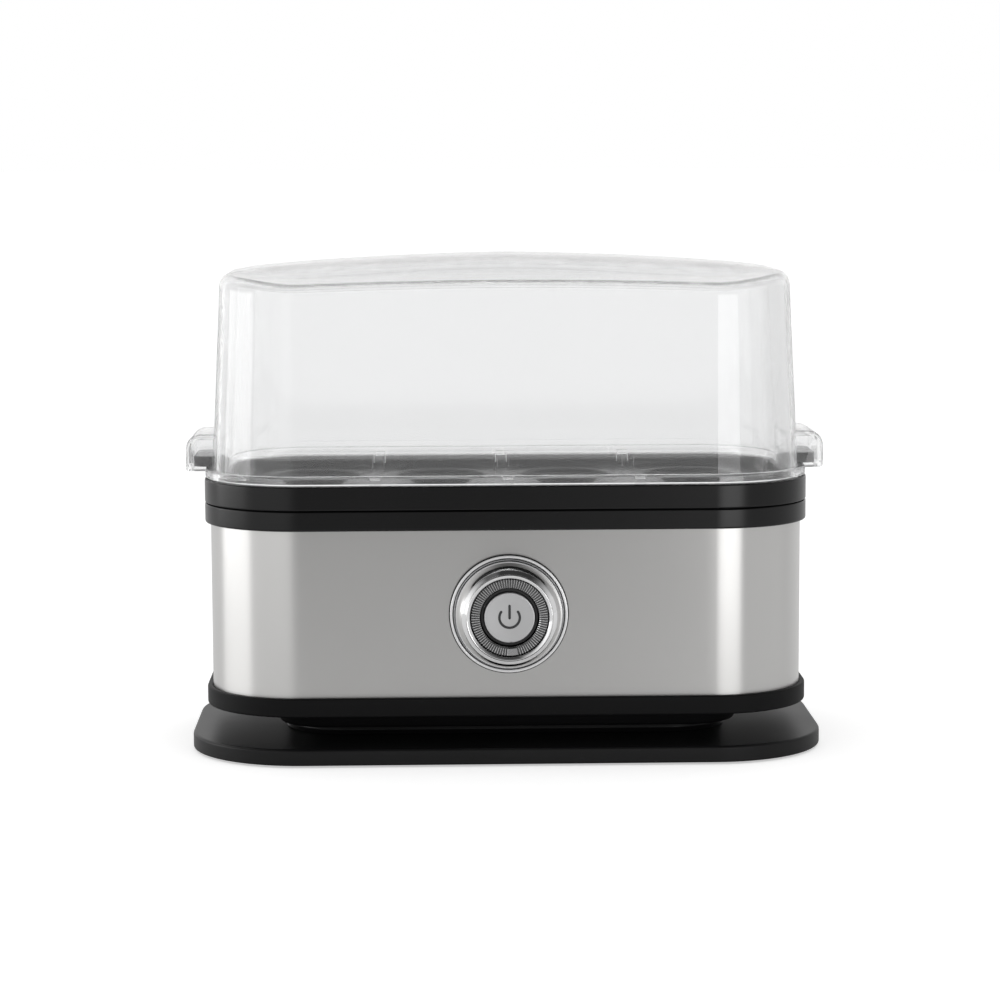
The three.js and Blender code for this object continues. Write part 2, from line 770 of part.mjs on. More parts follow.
// Tubular heater: a racetrack loop under the heat plate whose two ends turn down at the back
function heatingElement() {
  const z = heatPlateBottom - seatGap - heaterRadius;
  const turnX = heaterReach - heaterBend;
  const path = new THREE.CurvePath();
  const at = (x, y, drop = 0) => new THREE.Vector3(x, y, z - drop);
  const fall = heaterDropRadius + heaterDrop;
  path.add(new THREE.LineCurve3(at(-heaterEndX, heaterBend, fall),
    at(-heaterEndX, heaterBend, heaterDropRadius)));
  path.add(new THREE.QuadraticBezierCurve3(at(-heaterEndX, heaterBend, heaterDropRadius),
    at(-heaterEndX, heaterBend), at(-heaterEndX - heaterDropRadius, heaterBend)));
  path.add(new THREE.LineCurve3(at(-heaterEndX - heaterDropRadius, heaterBend), at(-turnX, heaterBend)));
  path.add(halfTurn(-turnX, z, Math.PI / 2));
  path.add(new THREE.LineCurve3(at(-turnX, -heaterBend), at(turnX, -heaterBend)));
  path.add(halfTurn(turnX, z, -Math.PI / 2));
  path.add(new THREE.LineCurve3(at(turnX, heaterBend), at(heaterEndX + heaterDropRadius, heaterBend)));
  path.add(new THREE.QuadraticBezierCurve3(at(heaterEndX + heaterDropRadius, heaterBend),
    at(heaterEndX, heaterBend), at(heaterEndX, heaterBend, heaterDropRadius)));
  path.add(new THREE.LineCurve3(at(heaterEndX, heaterBend, heaterDropRadius),
    at(heaterEndX, heaterBend, fall)));
  return tube(path, heaterRadius, wireTurn, heaterSteps);
}

// Level half circle of the heater about (x, 0), counter-clockwise from the start angle
function halfTurn(x, z, start) {
  const curve = new THREE.Curve();
  curve.getPoint = (share, target = new THREE.Vector3()) => {
    const angle = start + share * Math.PI;
    return target.set(x + heaterBend * Math.cos(angle), heaterBend * Math.sin(angle), z);
  };
  return curve;
}

// Round dry-boil cut-out under the middle of the heat plate
function thermostat() {
  return rod(thermostatRadius, thermostatBottom, thermostatTop, 0, 0, coarseTurn);
}

// Strip that holds the cut-out against the heat plate, stepped down between its two ends
function thermostatClip() {
  const high = heatPlateBottom - seatGap;
  const low = thermostatBottom - seatGap;
  const end = studX + clipEnd;
  const slopeOuter = clipMiddle + clipSlope;
  const left = [
    [-end, high], [-end, high - clipThick], [-slopeOuter, high - clipThick], [-clipMiddle, low - clipThick],
  ];
  const top = [[clipMiddle, low], [slopeOuter, high], [end, high]];
  const outline = [
    ...left,
    ...left.slice().reverse().map(([x, z]) => [-x, z]).slice(0, 3),
    ...top.slice().reverse(),
    ...top.slice(0, 2).map(([x, z]) => [-x, z]),
  ];
  const strip = alongDepth(outline, -clipWidth / 2, clipWidth / 2);
  const holes = [-1, 1].map((side) => (
    rod(studRadius + screwGap, high - clipThick - overrun, high + overrun, side * studX, 0)));
  return cut(strip, ...holes);
}

function studNut(side) {
  const high = heatPlateBottom - 2 * seatGap - clipThick;
  const inner = studRadius + seatGap;
  return turned([
    [inner, high - nutTall], [nutRadius, high - nutTall], [nutRadius, high], [inner, high],
    [inner, high - nutTall],
  ], side * studX, 0, screwTurn);
}

// Egg rack: rim ring, sunk floor with the egg holes, guide ribs and a grip tab at each end
function eggRack() {
  const rim = band(body, [
    [rimEdge, rimBottom], [0, rimBottom + rimEdge], [0, rackTop - rimEdge], [rimEdge, rackTop],
    [trayInset, rackTop], [trayInset, rimBottom - skirtDrop],
    [trayInset - trayWall, rimBottom - skirtDrop], [trayInset - trayWall, rackTop - rimSkin],
    [rimWall, rackTop - rimSkin], [rimWall, rimBottom],
  ]);
  const floor = slab(inset(body, trayInset - trayWall / 2), trayTop - trayThick, trayTop);
  const ribs = [];
  for (let line = 1; line < eggColumns; line += 1) {
    const x = (line - eggColumns / 2) * eggPitchX;
    [-1, 1].forEach((side) => {
      [-1, 1].forEach((wall) => {
        const face = wall * (bodyDepth / 2 - trayInset);
        const tip = face - wall * ribDeep;
        const root = face + wall * trayWall / 2;
        ribs.push(box(ribWide, Math.abs(root - tip), rackTop - trayTop + trayThick / 2,
          x + side * ribPairGap / 2, (root + tip) / 2, (rackTop - rimEdge + trayTop - trayThick / 2) / 2));
      });
    });
  }
  const tabs = [-1, 1].flatMap((side) => {
    const reach = bodyWidth / 2 + tabReach;
    const root = bodyWidth / 2 - riserThick;
    const outline = { width: 2 * reach, depth: tabWide, corner: tabCorner };
    const inside = span(-root, root, -tabWide, tabWide, tabTop - tabThick - overrun, tabTop + overrun);
    const half = span(side > 0 ? 0 : -2 * reach, side > 0 ? 2 * reach : 0, -tabWide, tabWide,
      tabTop - tabThick - overrun, tabTop + overrun);
    const plate = fromSolid(toSolid(cut(slab(outline, tabTop - tabThick, tabTop), inside))
      .intersect(toSolid(half)));
    const riser = span(side > 0 ? root : -bodyWidth / 2, side > 0 ? bodyWidth / 2 : -root,
      -tabWide / 2, tabWide / 2, rackTop - rimSkin / 2, tabTop - tabThick / 2);
    return [plate, fromSolid(toSolid(riser).intersect(toSolid(slab(body, rackTop - rimSkin, tabTop))))];
  });
  const holes = [];
  for (let column = 0; column < eggColumns; column += 1) {
    for (let row = 0; row < eggRows; row += 1) {
      const x = (column - (eggColumns - 1) / 2) * eggPitchX;
      const y = (row - (eggRows - 1) / 2) * eggPitchY;
      holes.push(turned([
        [0, trayTop - trayThick - overrun], [eggHoleRadius, trayTop - trayThick - overrun],
        [eggHoleRadius, trayTop - trayThick / 2], [eggHoleRadius + eggDish, trayTop],
        [eggHoleRadius + eggDish, trayTop + overrun], [0, trayTop + overrun],
      ], x, y, 24));
    }
  }
  return cut(join(rim, floor, ...ribs, ...tabs), ...holes);
}

// Height of the lid's top skin above any point of its plan
function crownZ(point, outline) {
  const shareX = Math.abs(point.x) / (outline.width / 2);
  const shareY = Math.abs(point.y) / (outline.depth / 2);
  const ridge = lidCrown - (lidCrown - lidEndCrown) * Math.min(shareX, 1) ** lidCrownPower;
  return lidTop - lidArch * shareX ** 2 + ridge * Math.max(1 - shareY ** lidDepthPower, 0);
}

// Rings of one skin of the lid, from the foot of its wall to the middle of its top
function lidRings(sheet) {
  const steps = 3;
  const shares = [0.88, 0.7, 0.42];
  const footOutline = inset(body, lidWallInset + sheet);
  const headOutline = inset(body, lidWallInset + lidDraft + sheet);
  const shoulder = lidShoulder - sheet;
  const topOutline = inset(headOutline, shoulder);
  const reference = inset(body, lidWallInset + lidDraft + lidShoulder);
  const topRing = outlinePoints(topOutline, 6).map((point) => (
    new THREE.Vector3(point.x, point.y, crownZ(point, reference) - sheet)));
  const rings = [ringAt(footOutline, lidBottom + (sheet > 0 ? 0 : lidFlangeTall), 6)];
  for (let step = 0; step < steps; step += 1) {
    const angle = step / steps * Math.PI / 2;
    const pull = shoulder * (1 - Math.cos(angle));
    const drop = shoulder * (1 - Math.sin(angle));
    rings.push(outlinePoints(inset(headOutline, pull), 6).map((point, index) => (
      new THREE.Vector3(point.x, point.y, topRing[index].z - drop))));
  }
  rings.push(topRing);
  shares.forEach((share) => {
    rings.push(topRing.map((point) => {
      const plan = new THREE.Vector2(point.x * share, point.y * share);
      return new THREE.Vector3(plan.x, plan.y, crownZ(plan, reference) - sheet);
    }));
  });
  return rings;
}

// Clear lid: drafted wall, arched and domed top, rim flange and a hood over each grip tab
function clearLid() {
  const flangeTopZ = lidBottom + lidFlangeTall;
  const flange = [lidBottom, flangeTopZ].map((z) => ringAt(inset(body, lidFlangeInset), z, 6));
  const rings = [...lidRings(lidSheet).reverse(), ...flange, ...lidRings(0)];
  const shell = skin(rings, false);
  const reach = bodyWidth / 2 + hoodReach;
  const root = bodyWidth / 2 - lidWallInset - lidSheet / 2;
  const hoodTop = lidBottom + hoodTall;
  const clearRoot = bodyWidth / 2 - lidWallInset + seatGap;
  const outer = hoodOutline(root, reach, lidBottom + hoodLift, hoodTop, hoodRound);
  const inner = hoodOutline(clearRoot, reach - lidSheet, lidBottom - overrun, hoodTop - lidSheet,
    hoodRound - lidSheet);
  const mirrored = (outline) => outline.map(([x, z]) => [-x, z]).reverse();
  const wide = hoodWide / 2;
  const clear = hoodWide / 2 - lidSheet;
  const hoods = [outer, mirrored(outer)].map((outline) => alongDepth(outline, -wide, wide));
  const hollows = [inner, mirrored(inner)].map((outline) => alongDepth(outline, -clear, clear));
  return cut(join(shell, ...hoods), ...hollows);
}

function hoodOutline(root, reach, low, high, round) {
  const points = [[root, low], [reach, low]];
  for (let step = 0; step <= 5; step += 1) {
    const angle = step / 5 * Math.PI / 2;
    points.push([reach - round + round * Math.cos(angle), high - round + round * Math.sin(angle)]);
  }
  points.push([root, high]);
  return points;
}

// Dial knob: a hollow chrome cone with a rounded front rim and a web behind the tick ring
function dialKnob() {
  const rimInner = tickRingRadius + tickRingGap;
  const shoulderReach = knobBack + knobLip;
  const rimBack = knobReach - knobRimRound;
  const profile = [[knobRadius, knobBack], [knobRadius, shoulderReach]];
  const sweepSteps = 4;
  for (let step = 1; step <= sweepSteps; step += 1) {
    const share = step / sweepSteps;
    const radius = knobRadius + (knobRimRadius + knobRimRound / 2 - knobRadius) * share ** knobSweepPower;
    profile.push([radius, shoulderReach + (rimBack - shoulderReach) * share]);
  }
  profile.push([knobRimRadius - knobRimRound / 2, knobReach], [rimInner + knobRimRound / 2, knobReach]);
  profile.push([rimInner, knobReach - knobRimRound / 2], [rimInner, knobWebReach]);
  profile.push([throatRadius, knobWebReach], [throatRadius, knobWebReach - knobWeb]);
  profile.push([rimInner, knobWebReach - knobWeb], [knobRadius - knobShell, shoulderReach]);
  profile.push([knobRadius - knobShell, knobBack], [knobRadius, knobBack]);
  return dialTurned(profile, fineTurn);
}

function dialTickRing() {
  const low = knobWebReach + seatGap;
  const high = low + tickRingThick;
  return dialTurned([
    [throatRadius, low], [tickRingRadius, low], [tickRingRadius, high], [throatRadius, high],
    [throatRadius, low],
  ], fineTurn);
}

function dialHub() {
  const flangeHigh = knobWebReach - knobWeb - seatGap;
  const flangeLow = flangeHigh - hubFlangeThick;
  return dialTurned([
    [throatRadius, -hubTail], [hubRadius, -hubTail], [hubRadius, flangeLow],
    [hubRadius + hubFlangeWide, flangeLow], [hubRadius + hubFlangeWide, flangeHigh],
    [throatRadius, flangeHigh], [throatRadius, -hubTail],
  ], fineTurn);
}

function dialBearing() {
  const flange = bearingRadius + bearingFlangeWide;
  return dialTurned([
    [bearingBore, -bearingTail], [bearingRadius, -bearingTail], [bearingRadius, seatGap], [flange, seatGap],
    [flange, seatGap + bearingFlangeThick], [bearingBore, seatGap + bearingFlangeThick],
    [bearingBore, -bearingTail],
  ], fineTurn);
}

function bearingNut() {
  const bore = bearingRadius + seatGap;
  const front = -sleeveThick - seatGap;
  return dialTurned([
    [bore, front - bearingNutThick], [bore + bearingNutWide, front - bearingNutThick],
    [bore + bearingNutWide, front], [bore, front], [bore, front - bearingNutThick],
  ], nutTurn);
}

function buttonGuide() {
  const bore = buttonRadius + runningGap;
  const outside = bore + guideWall;
  const tail = -boardBack + seatGap;
  return dialTurned([
    [outside, tail], [outside, guideReach], [bore, guideReach], [bore, -guideStop],
    [stemRadius + runningGap, -guideStop], [stemRadius + runningGap, -guideStop - guideStopThick],
    [bore, -guideStop - guideStopThick], [bore, tail], [outside, tail],
  ], fineTurn);
}

function powerButton() {
  const capBack = buttonReach - buttonCap;
  return dialTurned([
    [0, -stemEnd], [stemRadius, -stemEnd], [stemRadius, capBack], [buttonRadius - buttonSkirtWall, capBack],
    [buttonRadius - buttonSkirtWall, capBack - buttonSkirt], [buttonRadius, capBack - buttonSkirt],
    [buttonRadius, buttonReach - buttonDish], [buttonRadius - buttonDish, buttonReach],
    [buttonRadius / 2, buttonReach - buttonDish / 2], [0, buttonReach - buttonDish],
  ], fineTurn);
}

// The spring's room: it stops one press short of the guide's stop
function buttonSpring() {
  const front = buttonReach - buttonCap - seatGap;
  const back = buttonTravel + seatGap - guideStop;
  return dialTurned([
    [springRadius - springWire / 2, back], [springRadius + springWire / 2, back],
    [springRadius + springWire / 2, front], [springRadius - springWire / 2, front],
    [springRadius - springWire / 2, back],
  ], coarseTurn);
}

function switchPlunger() {
  const front = -stemEnd - seatGap;
  const back = switchTall + seatGap - boardBack - plungerRadius / 2;
  return dialRod(plungerRadius, back, front, coarseTurn);
}

function powerSwitch() {
  const low = -boardBack + seatGap;
  const high = low + switchTall;
  const half = switchWide / 2;
  const block = span(-half, half, sleeveFront - high, sleeveFront - low, dialZ - half, dialZ + half);
  return cut(block, dialRod(plungerRadius + runningGap, high - switchBoreDeep, high + overrun, coarseTurn));
}

function timerPotentiometer() {
  const low = -boardBack + seatGap;
  const high = low + potThick;
  const half = bearingBore + potWall;
  const block = span(-half, half, sleeveFront - high, sleeveFront - low, dialZ - half, dialZ + half);
  return cut(block, dialRod(bearingBore, low - overrun, high + overrun));
}

const boardFrontY = sleeveFront + boardBack;
const boardRearY = boardFrontY + boardThick;

function boardScrewPlaces() {
  const x = boardWide / 2 - boardScrewInset;
  return [[-x, boardTop - boardScrewInset], [x, boardTop - boardScrewInset]];
}

// Rod along the depth, about a line at (x, z)
function depthRod(profile, x, z, sides) {
  const points = profile.map(([radius, y]) => new THREE.Vector2(radius, y));
  return new THREE.LatheGeometry(points, sides).translate(x, 0, z);
}

function depthHole(radius, y0, y1, x, z) {
  return depthRod([[0, y0], [radius, y0], [radius, y1], [0, y1]], x, z, screwTurn);
}

function controlBoard() {
  const plate = span(-boardWide / 2, boardWide / 2, boardFrontY, boardRearY, boardBottom, boardTop);
  const holes = boardScrewPlaces().map(([x, z]) => (
    depthHole(boardScrew.shank + screwGap, boardFrontY - overrun, boardRearY + overrun, x, z)));
  return cut(plate, ...holes);
}

function boardBracket() {
  const front = boardRearY + seatGap;
  const back = front + bracketThick;
  const low = panFloorTop + seatGap;
  const upright = span(-boardWide / 2, boardWide / 2, front, back, low, boardTop);
  const footPlate = span(-boardWide / 2, boardWide / 2, front, front + bracketFoot, low, low + bracketThick);
  const window = span(-bracketWindowWide / 2, bracketWindowWide / 2, front - overrun, back + overrun,
    boardBottom + bracketWindowLow, boardBottom + bracketWindowLow + bracketWindowTall);
  const holes = boardScrewPlaces().map(([x, z]) => (
    depthHole(boardScrew.shank + screwGap, front - overrun, back + overrun, x, z)));
  return cut(join(upright, footPlate), window, ...holes);
}

function boardFastener(x, z) {
  const seat = boardFrontY - seatGap;
  return depthRod([
    [0, seat - boardScrew.headTall], [boardScrew.head, seat - boardScrew.headTall], [boardScrew.head, seat],
    [boardScrew.shank, seat], [boardScrew.shank, seat + boardScrew.length], [0, seat + boardScrew.length],
  ], x, z, screwTurn);
}

function relay() {
  const front = boardRearY + seatGap;
  return span(relayX - relayWide / 2, relayX + relayWide / 2, front, front + relayDeep,
    boardPartZ - relayTall / 2, boardPartZ + relayTall / 2);
}

function capacitor() {
  const front = boardRearY + seatGap;
  return depthRod([[0, front], [capacitorRadius, front], [capacitorRadius, front + capacitorLong],
    [0, front + capacitorLong]], capacitorX, boardPartZ, coarseTurn);
}

const blockTopZ = panFloorTop + seatGap + blockTall;

function terminalBlock() {
  const low = panFloorTop + seatGap;
  const block = span(glandX - blockWide / 2, glandX + blockWide / 2, blockY - blockDeep / 2,
    blockY + blockDeep / 2, low, blockTopZ);
  const holes = [-1, 1].map((side) => (
    depthHole(blockHole, blockY - blockDeep / 2 - overrun, blockY, glandX + side * blockWide / 4,
      low + blockTall / 2)));
  return cut(block, ...holes);
}

// Wires run from the terminal block's front to the board's lower edge and to the heater's ends
function wireRoutes() {
  const blockFront = blockY - blockDeep / 2;
  const blockZ = panFloorTop + seatGap + blockTall / 2;
  const heaterZ = heatPlateBottom - seatGap - heaterRadius - heaterDropRadius - heaterDrop;
  const boardEdge = boardRearY + seatGap;
  const nearX = glandX - blockWide / 4;
  const farX = glandX + blockWide / 4;
  const under = heaterZ - seatGap;
  const liveX = bracketWindowWide / 2 - 3 * wireRadius;
  const liveZ = boardBottom + bracketWindowLow + 3 * wireRadius;
  return {
    live_wire: [
      [nearX, blockFront + wireRadius, blockZ], [nearX, blockFront - 3 * wireRadius, blockZ],
      [nearX - blockDeep, 0, blockZ], [liveX, boardEdge + bracketThick + 6 * wireRadius, liveZ],
      [liveX, boardEdge + 2 * wireRadius, liveZ], [liveX, boardEdge, liveZ],
    ],
    neutral_wire: [
      [farX, blockFront + wireRadius, blockZ], [farX, blockFront - 3 * wireRadius, blockZ],
      [farX - blockDeep, 0, blockZ + blockTall], [heaterEndX + blockDeep, heaterBend / 2, under - blockTall],
      [heaterEndX, heaterBend, under - 4 * wireRadius], [heaterEndX, heaterBend, under],
    ],
    heater_wire: [
      [-heaterEndX, heaterBend, under], [-heaterEndX, heaterBend, under - 4 * wireRadius],
      [-heaterEndX - blockDeep / 2, 0, under - blockTall],
      [capacitorX - capacitorRadius - 3 * wireRadius, boardEdge + capacitorLong, boardPartZ],
      [capacitorX - capacitorRadius - 3 * wireRadius, boardEdge, boardPartZ],
    ],
  };
}

function wire(route) {
  const curve = new THREE.CatmullRomCurve3(route.map(([x, y, z]) => new THREE.Vector3(x, y, z)));
  return tube(curve, wireRadius, wireTurn, wireSteps);
}

add('base_plate', basePlate(), 'blackPlastic');
corners(footX, footY).forEach(([x, y], index) => add(`foot_${index + 1}`, foot(x, y), 'rubber'));
add('bottom_pan', bottomPan(), 'blackPlastic');
add('steel_sleeve', steelSleeve(), 'steel');
add('top_collar', topCollar(), 'blackPlastic');
add('bowl_gasket', bowlGasket(), 'silicone');
add('water_bowl', waterBowl(), 'aluminium');
add('heat_plate', heatPlate(), 'aluminium');
add('heating_element', heatingElement(), 'zincSteel');
add('thermostat', thermostat(), 'nylon');
add('thermostat_clip', thermostatClip(), 'zincSteel');
add('stud_nut_left', studNut(-1), 'zincSteel');
add('stud_nut_right', studNut(1), 'zincSteel');
add('thermal_fuse', new THREE.CylinderGeometry(fuseRadius, fuseRadius, fuseLong, screwTurn)
  .rotateZ(Math.PI / 2).translate(fuseX, fuseY, heatPlateBottom - seatGap - fuseRadius), 'nylon');
bowlScrewPlaces().forEach(([x, y], index) => (
  add(`bowl_screw_${index + 1}`, screwDown(bowlScrew, flangeTop + seatGap, x, y), 'zincSteel')));
corners(bodyScrewX, bodyScrewY).forEach(([x, y], index) => (
  add(`body_screw_${index + 1}`, screwUp(bodyScrew, bezelBottom + bodyScrew.headTall, x, y), 'zincSteel')));
corners(baseScrewX, baseScrewY).forEach(([x, y], index) => (
  add(`base_screw_${index + 1}`, screwUp(baseScrew, baseScrewSeat, x, y), 'zincSteel')));
add('dial_bearing', dialBearing(), 'blackPlastic');
add('bearing_nut', bearingNut(), 'blackPlastic');
add('button_guide', buttonGuide(), 'blackPlastic');
add('timer_potentiometer', timerPotentiometer(), 'component');
add('power_switch', powerSwitch(), 'component');
add('control_board', controlBoard(), 'board');
add('board_bracket', boardBracket(), 'blackPlastic');
boardScrewPlaces().forEach(([x, z], index) => (
  add(`board_screw_${index + 1}`, boardFastener(x, z), 'zincSteel')));
add('relay', relay(), 'component');
add('capacitor', capacitor(), 'component');
add('cord_gland', cordGland(), 'rubber');
add('cord_clamp', cordClamp(), 'nylon');
[-1, 1].forEach((side, index) => add(`clamp_screw_${index + 1}`, screwDown(clampScrew,
  glandZ + clampLift + clampTall + seatGap, glandX + side * clampSpacing / 2, clampY), 'zincSteel'));
add('terminal_block', terminalBlock(), 'nylon');
Object.entries(wireRoutes()).forEach(([name, route]) => add(name, wire(route), 'wire'));

const dial = new THREE.Group();
product.add(dial);
add('dial_knob', dialKnob(), 'chrome', dial);
add('dial_tick_ring', dialTickRing(), 'satinSilver', dial);
add('dial_hub', dialHub(), 'blackPlastic', dial);

const button = new THREE.Group();
product.add(button);
add('power_button', powerButton(), 'satinSilver', button);
add('button_spring', buttonSpring(), 'zincSteel', button);
add('switch_plunger', switchPlunger(), 'blackPlastic', button);

const rack = new THREE.Group();
product.add(rack);
add('egg_rack', eggRack(), 'blackPlastic', rack);

const lid = new THREE.Group();
rack.add(lid);
add('lid', clearLid(), 'clearPlastic', lid);

export default product;
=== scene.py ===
"""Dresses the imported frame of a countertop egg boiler: finer meshes, materials, studio and camera."""

import json
import math

import bpy
from mathutils import Matrix, Vector


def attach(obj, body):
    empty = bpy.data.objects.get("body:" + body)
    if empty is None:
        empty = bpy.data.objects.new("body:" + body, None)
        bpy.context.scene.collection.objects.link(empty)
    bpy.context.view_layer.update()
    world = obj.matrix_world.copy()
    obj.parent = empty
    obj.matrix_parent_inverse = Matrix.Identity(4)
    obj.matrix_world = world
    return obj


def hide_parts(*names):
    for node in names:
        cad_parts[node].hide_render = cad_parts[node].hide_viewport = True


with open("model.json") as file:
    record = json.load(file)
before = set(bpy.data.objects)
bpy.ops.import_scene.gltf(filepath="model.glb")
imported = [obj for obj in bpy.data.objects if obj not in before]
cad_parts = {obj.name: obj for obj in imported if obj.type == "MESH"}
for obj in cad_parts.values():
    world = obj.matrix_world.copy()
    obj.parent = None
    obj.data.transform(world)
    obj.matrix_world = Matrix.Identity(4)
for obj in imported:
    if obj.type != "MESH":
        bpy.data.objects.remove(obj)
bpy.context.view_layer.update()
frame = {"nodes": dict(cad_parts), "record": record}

MM = 0.001

# Sizes are in millimetres. Those of the body are as in the part's source, and fine detail is the scene's own.
# An outline is a width, a depth and a corner radius. Heights are above the surface that the object stands
# on, and depths are from the middle of the body.
BODY = (219.0, 112.2, 36.0)
CENTRING = 1.625
SEAT_GAP = 0.25
OVERRUN = 1.0
CLIP = 0.01
BOSS_ROOT = 1.2

# Fineness of the curved surfaces
CORNER_STEPS = 20
COARSE_SIDES = 24
MEDIUM_SIDES = 32
FINE_SIDES = 48
RING_SIDES = 64

# Base plate with its neck, and the rubber feet
BASE_OVERHANG = 5.5
PLATE_TOP = 6.65
PLATE_SKIN = 2.5
PLATE_WALL = 2.6
NECK = (160.0, 64.0, 22.0)
NECK_TOP = 11.4
NECK_WALL = 2.5
NECK_FLARE = 1.2
FOOT_AT = (92.0, 40.0)
FOOT_PROUD = 0.8
FOOT_RADIUS = 7.45
FOOT_TOP = 2.15
FOOT_SEAT = 1.6
FOOT_HOLE = 7.75
FOOT_BOSS = 9.05
STEM_RADIUS = 2.0
STEM_TOP = 3.65
STEM_HOLE = 2.3
STEM_HOLE_TOP = 4.7

# Bottom pan with the lower black ring, and what stands in it
PAN_BOTTOM = 11.65
WELL = (169.4, 98.2, 20.0)
WELL_DRAFT = 2.2
PAN_WALL = 2.5
PAN_FLOOR = 2.5
PAN_RIM = 5.65
BEZEL_BOTTOM = 17.05
BEZEL_TOP = 23.8
BOSS_RADIUS = 3.4
BODY_BOSS_TOP = 24.2
BASE_BOSS_TOP = 23.15
BASE_HOLE_TOP = 20.55
HEAD_HOLE = 3.7
HEAD_SINK = 2.25
CLAMP_HALF = 8.5
CLAMP_Y = 42.05
CLAMP_POST = 3.0
CLAMP_TOP = 37.05
SADDLE_Y = (40.5, 43.5)
SADDLE_TOP = 30.7

# Steel sleeve and the grooves that hold it
SLEEVE_INSET = 2.05
SLEEVE_THICK = 0.8
SLEEVE_SINK = 1.7
SLEEVE_FRONT = -54.05
SLEEVE_REAR = 54.05
GROOVE_GAP = 0.3
GROOVE_OUT = SLEEVE_INSET - GROOVE_GAP
GROOVE_IN = SLEEVE_INSET + SLEEVE_THICK + GROOVE_GAP
BEARING_HOLE = 13.9

# Top collar
COLLAR_BOTTOM = 83.7
COLLAR_TOP = 90.7
COLLAR_WALL = 3.7
COLLAR_RIB = 2.0
COLLAR_RIB_TALL = 3.0
DECK_BOTTOM = 85.2
DECK_TOP = 87.2
DECK_LAP = 0.6
POST_RADIUS = 4.0
POST_HOLE_LOW = 23.4
POST_HOLE_TOP = 36.4
BOWL_BOSS = 3.35
BOWL_BOSS_TALL = 6.0
BOWL_HOLE_DEEP = 4.4

# Water bowl
BOWL_RIM = (191.0, 97.0, 35.5)
BOWL_FLANGE = 7.5
BOWL_TAPER = 6.0
BOWL_SHEET = 1.2
BOWL_BOTTOM = 70.9
FLANGE_BOTTOM = 88.9
FLANGE_TOP = 90.1
STUD_X = 47.0
STUD_RADIUS = 2.0
STUD_TALL = 9.0
STUD_ROOT = 0.6

# Screws: shank radius, head radius, head height and length of each kind
BOWL_SCREW = (1.45, 2.8, 1.6, 8.0)
BODY_SCREW = (1.5, 3.4, 2.0, 16.0)
BASE_SCREW = (1.5, 3.4, 2.0, 10.5)
BOWL_SCREW_INSET = 3.2
BODY_SCREW_AT = (89.5, 36.5)
BODY_SCREW_SINK = 2.0
BASE_SCREW_AT = (60.0, 18.0)
BASE_SCREW_SEAT = 8.65
SCREW_HOLE = 1.8
BOWL_SCREW_HOLE = 1.75

# Cord gland in the back
GLAND_X = 60.0
GLAND_Z = 34.0
GLAND_HOLE = 5.4
GLAND_BORE = 3.3
GLAND_FLANGE = 7.4
GLAND_FACE = 2.75
GLAND_NECK = 5.1
GLAND_GRIP = 6.4
GLAND_INSIDE = -1.05
GLAND_END = -2.65

# Dial and button. A reach is out from the sleeve's front face, and the stem ends behind it.
DIAL_Z = 53.75
TICKS = 90
BUTTON_RADIUS = 8.95
BUTTON_REACH = 9.5
BUTTON_CAP = 2.2
BUTTON_SKIRT = 3.0
BUTTON_SKIRT_WALL = 1.1
BUTTON_STEM = 2.5
BUTTON_STEM_END = 8.0
COIL_RADIUS = 4.2
COIL_FRONT = 6.8
COIL_BACK = 0.2

# Egg rack
RIM_BOTTOM = 91.05
RACK_TOP = 99.6
RIM_WALL = 2.2
RIM_SKIN = 2.0
TRAY_INSET = 6.2
TRAY_WALL = 2.0
TRAY_TOP = 95.6
TRAY_THICK = 2.0
SKIRT_DROP = 2.1
EGG_COLUMNS = 4
EGG_ROWS = 2
EGG_PITCH = (47.0, 49.0)
EGG_HOLE = 16.5
EGG_DISH = 2.0
RIB_PAIR_GAP = 5.7
RIB_WIDE = 1.0
RIB_DEEP = 1.0
RIB_LOWERED = 0.6
TAB_REACH = 4.7
TAB_WIDE = 26.0
TAB_CORNER = 4.0
TAB_THICK = 3.8
TAB_TOP = 106.4
RISER_THICK = 2.3

# Clear lid
LID_BOTTOM = 99.95
LID_FLANGE_INSET = 0.3
LID_FLANGE_TALL = 3.1
LID_WALL_INSET = 3.0
LID_SHEET = 2.0
LID_TOP = 172.55
LID_DRAFT = 3.3
LID_SHOULDER = 5.0
LID_ARCH = 2.6
LID_CROWN = 7.2
LID_END_CROWN = 4.9
LID_CROWN_POWER = 1.3
LID_DEPTH_POWER = 4.7
LID_END_POWER = 2.0
LID_END_SPREAD = 6
LID_SIDE_STEPS = 24
HOOD_REACH = 7.2
HOOD_TALL = 14.75
HOOD_WIDE = 32.0
HOOD_ROUND = 5.5
HOOD_LIFT = 1.2
HOOD_EDGE = 1.2
HOOD_PASS = 0.25

# Clear tongues at the foot of the lid's wall, with a pale, half-clear strip down each side that paints the
# highlight of the tongue's edge
TONGUE_WIDE = 3.9
TONGUE_THICK = 1.0
TONGUE_GAP = 0.2
TONGUE_HANG = 2.6
TONGUE_RISE = 1.5
TONGUE_ROUND = 0.25
STRIP_WIDE = 0.36
STRIP_DEEP = 1.1
STRIP_ROUND = 0.08


def shift(points):
    """Millimetres from the middle of the body to the frame's metres."""
    return [(x * MM, (y + CENTRING) * MM, z * MM) for x, y, z in points]


# Sections and outlines


def inset(outline, amount):
    return (outline[0] - 2 * amount, outline[1] - 2 * amount, outline[2] - amount)


